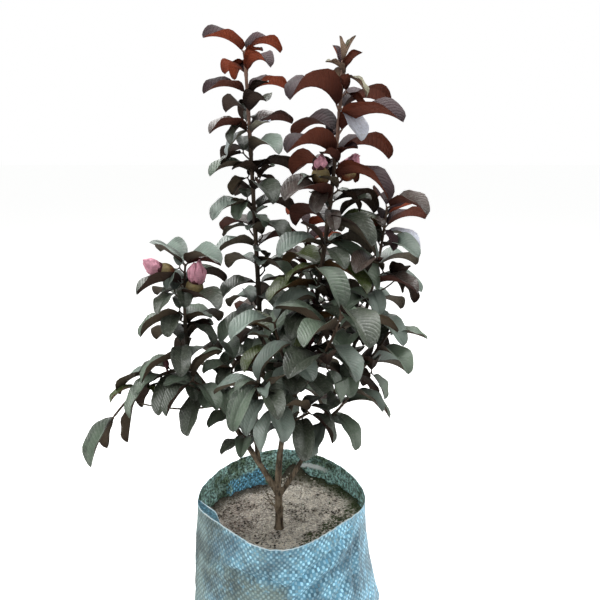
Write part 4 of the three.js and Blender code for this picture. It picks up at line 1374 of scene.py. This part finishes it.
def remeshed(mesh, size):
    """The mesh joined into one even skin."""
    holder = bpy.data.objects.new("skin_holder", mesh)
    bpy.context.scene.collection.objects.link(holder)
    modifier = holder.modifiers.new("skin", "REMESH")
    modifier.mode = "VOXEL"
    modifier.voxel_size = size
    skin = bpy.data.meshes.new_from_object(holder.evaluated_get(bpy.context.evaluated_depsgraph_get()))
    bpy.data.objects.remove(holder)
    return skin


# --- leaves

# The masses that each piece of leaves takes, by their order.
LEAF_PIECES = {"leader": range(0, 2), "shoot": range(2, 10), "inner": range(10, len(MASSES))}

BLADE_ROWS = 14
BLADE_COLUMNS = np.array([-1, -0.58, -0.1, 0, 0.1, 0.58, 1])
LEAST_HALF_WIDTH = 0.9
# Greatest twist of a blade from its base to its tip, and how high its margins rise, as a factor
# on two flat halves at the angle of its fold.
TWIST = math.radians(26)
FOLD_RISE = 1.25


def blade_half_width(along):
    """Half width of the blade from its base to its tip, as a share of the greatest."""
    return np.sin(np.pi * along ** 0.97) ** 0.57


def blade_points(leaf, settings, luck):
    """Upper and lower points of a blade, in rows from its base to its tip."""
    along = (1 - np.cos(np.pi * np.linspace(0, 1, BLADE_ROWS) ** 0.92)) / 2 * 0.6
    along = along + np.linspace(0, 1, BLADE_ROWS) * 0.4
    share = PETIOLE + (1 - PETIOLE) * along
    start = leaf["start"]
    rate = min(tip_climb(start, leaf["bend"]) - start, -1e-3)
    climb = start + rate * share
    level = direction(leaf["heading"], 0)
    flat = np.array([-level[1], level[0], 0.0])
    run = (np.sin(climb) - math.sin(start)) / rate * leaf["length"]
    lift = (math.cos(start) - np.cos(climb)) / rate * leaf["length"]
    line = leaf["root"] + run[:, None] * level + lift[:, None] * UP
    face = -np.sin(climb)[:, None] * level + np.cos(climb)[:, None] * UP
    roll = leaf["roll"] + TWIST * (luck[0] - 0.5) * share
    across = flat * np.cos(roll)[:, None] + face * np.sin(roll)[:, None]
    above = face * np.cos(roll)[:, None] - flat * np.sin(roll)[:, None]
    half = np.maximum(blade_half_width(along) * leaf["width"] / 2, LEAST_HALF_WIDTH)
    half[-1] = 0
    columns = BLADE_COLUMNS[None, :]
    reach = half[:, None] * columns * math.cos(leaf["fold"])
    rise = half[:, None] * (np.abs(columns) - 0.3 * columns ** 2) * math.sin(leaf["fold"]) * FOLD_RISE
    waves = np.sin(2 * np.pi * ((1.6 + 1.2 * luck[1]) * along[:, None] + luck[2] + 0.31 * (columns > 0)))
    rise = rise + waves * columns ** 2 * settings.wave / MM * np.minimum(1, half / 8)[:, None]
    middle = line[:, None, :] + reach[..., None] * across[:, None, :] + rise[..., None] * above[:, None, :]
    thick = settings.thickness / MM / 2 * (1 - np.abs(columns) ** 4) * np.minimum(1, half)[:, None]
    rib = (1.1 - 0.8 * along)[:, None] * (columns == 0) * np.minimum(1, half / 3)[:, None]
    upper = middle + thick[..., None] * above[:, None, :]
    lower = middle - (thick + rib)[..., None] * above[:, None, :]
    return upper, lower, line, along


def add_leaf(leaves, stems, leaf, settings, luck, tint):
    """Adds one leaf with its petiole to the two batches."""
    upper, lower, line, along = blade_points(leaf, settings, luck)
    rows, columns = upper.shape[:2]
    points = np.concatenate([upper.reshape(-1, 3), lower.reshape(-1, 3)])
    across, up = np.meshgrid(BLADE_COLUMNS / 2 + 0.5, along)
    uvs = np.tile(np.stack([across.ravel(), up.ravel()], axis=1), (2, 1))
    faces, slots = [], []
    below = rows * columns
    for r in range(rows - 1):
        for c in range(columns - 1):
            a, b = r * columns + c, (r + 1) * columns + c
            faces.append((a, b, b + 1, a + 1))
            faces.append((below + a, below + a + 1, below + b + 1, below + b))
            slots.extend((2 * tint, 2 * tint + 1))
    leaves.add(points, faces, slots, uvs, (luck[0], luck[1]))
    foot = leaf["root"]
    petiole = Bend(foot, (foot + line[0]) / 2 + direction(leaf["heading"], leaf["start"]) * 0.5,
                   line[1] * 0.35 + line[0] * 0.65)
    stout = 0.7 + leaf["length"] / 120
    stems.add_tube(leaf["stem_slot"], petiole, lambda share: stout * (1.3 - 0.5 * share), 5, 4)


def tint_of(mass, share, luck):
    """The tint that a leaf of this mass gets at this share of its stem."""
    choice = next(names for limit, names in mass["tints"] if share <= limit + 1e-6).split()
    return choice[int(luck * len(choice))]


def stem_limits(mass):
    """Shares of a mass's stem where its lengths of one colour each begin and end."""
    return (0.0, 0.35, 0.72, 1.0) if mass["name"] in LEADERS else (0.0, 0.5, 1.0)


def stem_slot(mass, share):
    """Which of the three stem colours the stem has at this share."""
    return sum(share >= limit for limit in stem_limits(mass)[1:-1])


def stem_radius(mass, share):
    """Radius of a mass's stem, a little thicker at each pair of leaves."""
    ends = LEADER_RADIUS if mass["name"] in LEADERS else STEM_RADIUS
    place = (share - mass["first"]) / (LAST_PAIR - mass["first"]) * (mass["pairs"] - 1)
    joint = math.exp(-((place - round(place)) / 0.09) ** 2) if place > -0.5 else 0
    return between(ends, share) * (1.1 + 0.3 * joint)


def add_stem(stems, mass, bend):
    """Adds a mass's stem in lengths, one for each stem colour."""
    limits = stem_limits(mass)
    for slot, (low, high) in enumerate(zip(limits, limits[1:])):
        steps = max(4, round(mass["length"] * (high - low) / RING_STEP))
        stems.add_tube(slot, bend, lambda share: stem_radius(mass, share), 8, steps, (low, high), 0.06)


def add_mass(leaves, stems, mass, bend, wood, seed, settings):
    """Adds one mass of foliage: its stem, the CAD mass's leaves and twigs, finer twigs and sprigs."""
    names = list(TINTS)
    chance = dealer(seed + 5)
    corners = np.array([corner.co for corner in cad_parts[mass["name"]].data.vertices])
    tree = search_tree(corners)
    box = corners.min(axis=0) / MM, corners.max(axis=0) / MM
    add_stem(stems, mass, bend)
    grown, twigs = growth(mass, bend, seed, settings.width)
    found = [placed_leaf(leaf, tree) for leaf in grown]
    for twig, pair in twigs:
        kept = [placed_leaf(leaf, tree) for leaf in pair]
        if any(kept):
            found.extend(kept)
            add_twig(stems, mass, twig, pair[0]["share"])
    for twig, pair in finer_twigs(mass, bend, seed + 50, settings):
        kept = []
        for leaf in pair:
            heading, start = leaf_start(leaf["along"], leaf["angle"], leaf["rise"])
            leaf = {**leaf, "heading": heading, "start": start}
            if has_room(leaf, wood, box):
                kept.append(leaf)
        if kept:
            found.extend(kept)
            add_twig(stems, mass, twig, pair[0]["share"])
    for leaf in found:
        luck = [next(chance) for _ in range(4)]
        if leaf:
            leaf["stem_slot"] = stem_slot(mass, leaf["share"])
            tint = names.index(tint_of(mass, leaf["share"], luck[3]))
            add_leaf(leaves, stems, leaf, settings, luck, tint)
    for at, heading, climb, curl, length, fold, tint in mass["sprigs"]:
        luck = [next(chance) for _ in range(4)]
        leaf = {"root": bend.point(at), "heading": math.radians(heading), "start": math.radians(climb),
                "bend": math.radians(curl), "length": length, "width": length * settings.width,
                "fold": math.radians(fold), "roll": 0.4 * (luck[2] - 0.5), "share": at,
                "stem_slot": stem_slot(mass, at)}
        add_leaf(leaves, stems, leaf, settings, luck, names.index(tint))


def add_twig(stems, mass, twig, share):
    """Adds the wood of a side twig."""
    stems.add_tube(stem_slot(mass, share), twig, lambda along: between(TWIG_RADIUS, along), 6, 5)


def build_foliage():
    """All leaves, and all stems, twigs and petioles, each kind joined, the leaders apart from the rest."""
    scene = bpy.context.scene
    settings = scene.guava_leaf
    wood = scene.guava_wood
    tints = [leaf_material(name, getattr(settings, name + side), side == "_below")
             for name in TINTS for side in ("_above", "_below")]
    stem_tints = (stem_material("stem_old", wood.old_stem, 0.75), stem_material("stem", wood.mid_stem, 0.65),
                  stem_material("stem_young", wood.young_stem, 0.6))
    limbs = limb_bends()
    bends = mass_bends(limbs)
    lines = wood_tree([*limbs.values(), *bends])
    stems = Batch()
    for key, chosen in LEAF_PIECES.items():
        leaves = Batch()
        for index in chosen:
            seed = FIRST_SEED + SEED_STEP * index
            add_mass(leaves, stems, MASSES[index], bends[index], lines, seed, settings)
        masses = [MASSES[index]["name"] for index in chosen]
        finish_piece(key + "_leaves", leaves.mesh(key + "_leaves", tints), masses)
    finish_piece("stems", stems.mesh("stems", stem_tints), [mass["name"] for mass in MASSES])


# --- blossom


PETALS = 5
OVARY = {"swell": 1.16, "height": 31}
PETAL = {"half_angle": 58, "swell": 0.8, "foot": 25, "droop": 5, "thickness": 0.5}
SEPAL = {"half_angle": 34, "swell": 0.92, "foot": 24, "height": 7, "spread": 3, "thickness": 0.7}


def bloom_frames():
    """Foot, base, axis, kind and petal size of each flower and bud."""
    for mass, bend in zip(MASSES, mass_bends(limb_bends())):
        for at, heading, lean, kind, petals in mass["blooms"]:
            foot = bend.point(at)
            out = direction(math.radians(heading), 0)
            base = foot + out * (kind["radius"] + PEDICEL["off"]) + UP * PEDICEL["rise"]
            yield foot, base, unit(out * lean + UP), kind, petals


def spun(profile, sides):
    """A closed solid of revolution in a bmesh, from (radius, height) pairs."""
    shape = bmesh.new()
    chain = [shape.verts.new((radius, 0, height)) for radius, height in profile]
    edges = [shape.edges.new(pair) for pair in zip(chain, chain[1:])]
    bmesh.ops.spin(shape, geom=chain + edges, cent=(0, 0, 0), axis=(0, 0, 1), angle=2 * math.pi,
                   steps=sides, use_merge=True)
    bmesh.ops.remove_doubles(shape, verts=shape.verts, dist=0.01)
    bmesh.ops.recalc_face_normals(shape, faces=shape.faces)
    return shape


def axis_matrix(way, base):
    """Turns local +Z to an axis and puts it on its base, in millimetres."""
    turn = Vector(way).to_track_quat("Z", "X").to_matrix().to_4x4()
    return Matrix.Translation(Vector(base)) @ turn


def add_shape(batch, shape, matrix, tall):
    """Adds a bmesh to a batch, turned and placed, with its height as a share of tall in its UV map."""
    shape.verts.index_update()
    local = np.array([vert.co for vert in shape.verts])
    points = local @ np.array(matrix.to_3x3()).T + np.array(matrix.translation)
    uvs = np.stack([np.zeros(len(local)), local[:, 2] / tall], axis=1)
    faces = [[vert.index for vert in face.verts] for face in shape.faces]
    batch.add(points, faces, 0, uvs)
    shape.free()


def petal_shape(turn, radius, tall, droop, deal):
    """One cupped, crumpled petal in a bmesh, standing round the local +Z axis."""
    shape = grid(12, 12)
    layer = 1.2 * next(deal)
    seed = Vector((next(deal) * 30, next(deal) * 20, 3))
    for vert in shape.verts:
        across, up = vert.co.x, (vert.co.y + 1) / 2
        narrow = math.sin(math.pi * min(1.0, 0.2 + 0.62 * up)) ** 0.7
        cup = 0.66 + 0.46 * math.sin(math.pi * min(1, up * 1.02)) ** 0.8 - 0.5 * up ** 2.4
        crumple = noise.noise(Vector((across * 1.9, up * 2.6, 0)) + seed)
        ruffle = noise.noise(Vector((across * 4.5, up * 5.5, 5)) + seed)
        angle = turn + across * math.radians(PETAL["half_angle"]) * narrow + 0.25 * crumple * up
        reach = radius * cup + layer + (3.2 * crumple + 1.6 * ruffle) * min(1, 2 * up)
        height = PETAL["foot"] + tall * up * (1 - 0.14 * across ** 2) + 2.2 * ruffle * up
        side = droop * up ** 1.6
        vert.co = (reach * math.cos(angle) + side, reach * math.sin(angle), height)
    bmesh.ops.recalc_face_normals(shape, faces=shape.faces)
    thicken(shape, PETAL["thickness"])
    return shape


def sepal_shape(turn, radius, tall):
    """One pointed sepal in a bmesh that clasps the top of the ovary."""
    shape = grid(4, 5)
    for vert in shape.verts:
        across, up = vert.co.x, (vert.co.y + 1) / 2
        angle = turn + across * math.radians(SEPAL["half_angle"]) * (1 - up ** 1.5)
        reach = radius * (0.86 + 0.2 * math.sin(math.pi * up) + 0.12 * up)
        vert.co = (reach * math.cos(angle), reach * math.sin(angle), SEPAL["foot"] + tall * up)
    bmesh.ops.recalc_face_normals(shape, faces=shape.faces)
    thicken(shape, SEPAL["thickness"])
    return shape


def build_blossom():
    """Flowers with ovary, sepals and petals, and closed buds, on their stalks."""
    settings = bpy.context.scene.guava_blossom
    petals, fruits, buds = Batch(), Batch(), Batch()
    deal = dealer(FIRST_SEED + 40)
    for foot, base, way, kind, swell in bloom_frames():
        radius, length = kind["radius"], kind["length"]
        matrix = axis_matrix(way, base)
        stalk = Bend(foot, base - UP * PEDICEL["dip"], base + way * PEDICEL["inside"])
        buds.add_tube(0, stalk, lambda share: 1.5 + 0.5 * share, 7, 6)
        if kind is BUD:
            profile = [(0, 0), (1.7, 0.2), (radius * 0.75, length * 0.16), (radius, length * 0.36),
                       (radius * 0.8, length * 0.58), (radius * 0.66, length * 0.72),
                       (radius * 0.4, length * 0.9), (0, length)]
            add_shape(buds, spun(profile, 12), matrix, length)
            continue
        wide, high = radius * OVARY["swell"], OVARY["height"]
        profile = [(wide * math.sin(turn) ** 0.9, high * (1 - math.cos(turn)) / 2)
                   for turn in np.linspace(0, math.pi, 15)]
        add_shape(fruits, spun(profile, 24), matrix, high)
        for index in range(PETALS):
            turn = 2 * math.pi * (index / PETALS + 0.1 * next(deal))
            tall = (length - PETAL["foot"] - 1) * swell * (0.85 + 0.2 * next(deal))
            petal = petal_shape(turn, radius * PETAL["swell"] * swell, tall, PETAL["droop"] * swell, deal)
            add_shape(petals, petal, matrix, length)
            tall = SEPAL["height"] + SEPAL["spread"] * next(deal)
            add_shape(buds, sepal_shape(turn + 0.6, radius * SEPAL["swell"], tall), matrix, length)
    looks = (blossom_material("petal", (settings.petal_base, settings.petal), 55.0, 0.6, 0.75),
             blossom_material("ovary", (settings.ovary_base, settings.ovary), 60.0, 0.5, 0.6),
             blossom_material("bud", (settings.bud, settings.bud), 160.0, 0.55, 1.0))
    for key, batch, look in zip(("petals", "ovaries", "buds"), (petals, fruits, buds), looks):
        finish_piece(key, batch.mesh(key, [look]))


# --- stage


# Lamps: place and size in metres, and power in watts; and the point at which they aim.
LAMPS = {
    "overhead_light": ((0.0, 0.6, 2.9), 2.6, 111.0),
    "left_light": ((-2.2, -1.6, 2.2), 1.8, 42.0),
    "right_light": ((2.4, -0.8, 1.6), 1.8, 24.0),
}
LAMP_AIM = Vector((0, 0, 0.65))
FLOOR_HALF_WIDTH = 30
SENSOR_WIDTH = 36


def build_stage():
    """Floor, soft light, and the camera."""
    scene = bpy.context.scene
    settings = scene.guava_stage
    material, nodes = new_material("pale_floor")
    mottle = nodes.mottle(nodes.place(), 3.0, settings.floor, toned(settings.floor, 0.995))
    seen = nodes.add("ShaderNodeLightPath", output="Is Camera Ray")
    shade(nodes, mottle["Colour"], 0.9, glow=seen * 0.7)
    floor = bpy.data.objects.new("floor", made_mesh("floor", grid(2, 2, FLOOR_HALF_WIDTH), material))
    scene.collection.objects.link(floor)

    world = bpy.data.worlds.new("soft_light")
    world.use_nodes = True
    world.node_tree.nodes.clear()
    scene.world = world
    nodes = Nodes(world.node_tree)
    seen = nodes.add("ShaderNodeLightPath", output="Is Camera Ray")
    light = nodes.add("ShaderNodeBackground", {"Color": (0.99, 1.0, 1.0), "Strength": settings.light})
    backdrop = nodes.add("ShaderNodeBackground", {"Color": (1.0, 1.0, 1.0), "Strength": 1.0})
    mixed = nodes.add("ShaderNodeMixShader", {0: seen, 1: light, 2: backdrop})
    nodes.fill(nodes.tree.nodes.new("ShaderNodeOutputWorld"), {"Surface": mixed})

    for name, (place, size, power) in LAMPS.items():
        lamp = bpy.data.lights.new(name, "AREA")
        lamp.energy = power
        lamp.size = size
        lamp_object = bpy.data.objects.new(name, lamp)
        lamp_object.location = place
        lamp_object.rotation_euler = (LAMP_AIM - Vector(place)).to_track_quat("-Z", "Y").to_euler()
        scene.collection.objects.link(lamp_object)

    camera = bpy.data.cameras.new("camera")
    camera.lens = settings.lens
    camera.sensor_width = SENSOR_WIDTH
    camera_object = bpy.data.objects.new("camera", camera)
    camera_object.location = settings.camera
    camera_object.rotation_euler = (math.pi / 2 - settings.tilt, 0, 0)
    scene.collection.objects.link(camera_object)
    scene.camera = camera_object
    scene.view_settings.view_transform = "Standard"


# --- operators


class GUAVA_OT_sack(bpy.types.Operator):
    """Build the woven sack"""

    bl_idname = "guava.sack"
    bl_label = "Sack"

    def execute(self, context):
        build_sack()
        build_pleat()
        return {"FINISHED"}


class GUAVA_OT_soil(bpy.types.Operator):
    """Build the soil and its loose crumbs"""

    bl_idname = "guava.soil"
    bl_label = "Soil"

    def execute(self, context):
        build_soil()
        build_crumbs()
        return {"FINISHED"}


class GUAVA_OT_bark(bpy.types.Operator):
    """Build the bark of the trunk and the boughs"""

    bl_idname = "guava.bark"
    bl_label = "Bark"

    def execute(self, context):
        build_bark()
        return {"FINISHED"}


class GUAVA_OT_foliage(bpy.types.Operator):
    """Grow the leaves and their stems"""

    bl_idname = "guava.foliage"
    bl_label = "Foliage"

    def execute(self, context):
        build_foliage()
        return {"FINISHED"}


class GUAVA_OT_blossom(bpy.types.Operator):
    """Build the flowers and buds"""

    bl_idname = "guava.blossom"
    bl_label = "Blossom"

    def execute(self, context):
        build_blossom()
        return {"FINISHED"}


class GUAVA_OT_stage(bpy.types.Operator):
    """Set up the floor, the light and the camera"""

    bl_idname = "guava.stage"
    bl_label = "Stage"

    def execute(self, context):
        build_stage()
        return {"FINISHED"}


class GUAVA_PT_panel(bpy.types.Panel):
    """Lists the pieces of the tree"""

    bl_idname = "GUAVA_PT_panel"
    bl_label = "Guava tree"
    bl_space_type = "VIEW_3D"
    bl_region_type = "UI"
    bl_category = "Guava"

    def draw(self, context):
        for operator in OPERATORS:
            self.layout.operator(operator.bl_idname)
        for key in SETTINGS:
            box = self.layout.box()
            group = getattr(context.scene, key)
            for prop in group.bl_rna.properties.keys()[2:]:
                box.prop(group, prop)


OPERATORS = (GUAVA_OT_sack, GUAVA_OT_soil, GUAVA_OT_bark, GUAVA_OT_foliage, GUAVA_OT_blossom, GUAVA_OT_stage)
SETTINGS = {
    "guava_sack": GuavaSackSettings,
    "guava_soil": GuavaSoilSettings,
    "guava_wood": GuavaWoodSettings,
    "guava_leaf": GuavaLeafSettings,
    "guava_blossom": GuavaBlossomSettings,
    "guava_stage": GuavaStageSettings,
}


def register():
    """Registers the settings, the operators and the panel."""
    for key, group in SETTINGS.items():
        bpy.utils.register_class(group)
        setattr(bpy.types.Scene, key, PointerProperty(type=group))
    for operator in OPERATORS:
        bpy.utils.register_class(operator)
    bpy.utils.register_class(GUAVA_PT_panel)


def unregister():
    """Removes what register() added."""
    bpy.utils.unregister_class(GUAVA_PT_panel)
    for operator in reversed(OPERATORS):
        bpy.utils.unregister_class(operator)
    for key, group in reversed(SETTINGS.items()):
        delattr(bpy.types.Scene, key)
        bpy.utils.unregister_class(group)


def main():
    """Builds every piece and the stage."""
    register()
    make_mottle_group()
    make_vein_group()
    make_weave_group()
    for operator in OPERATORS:
        category, name = operator.bl_idname.split(".")
        getattr(getattr(bpy.ops, category), name)()


if __name__ == "__main__":
    main()
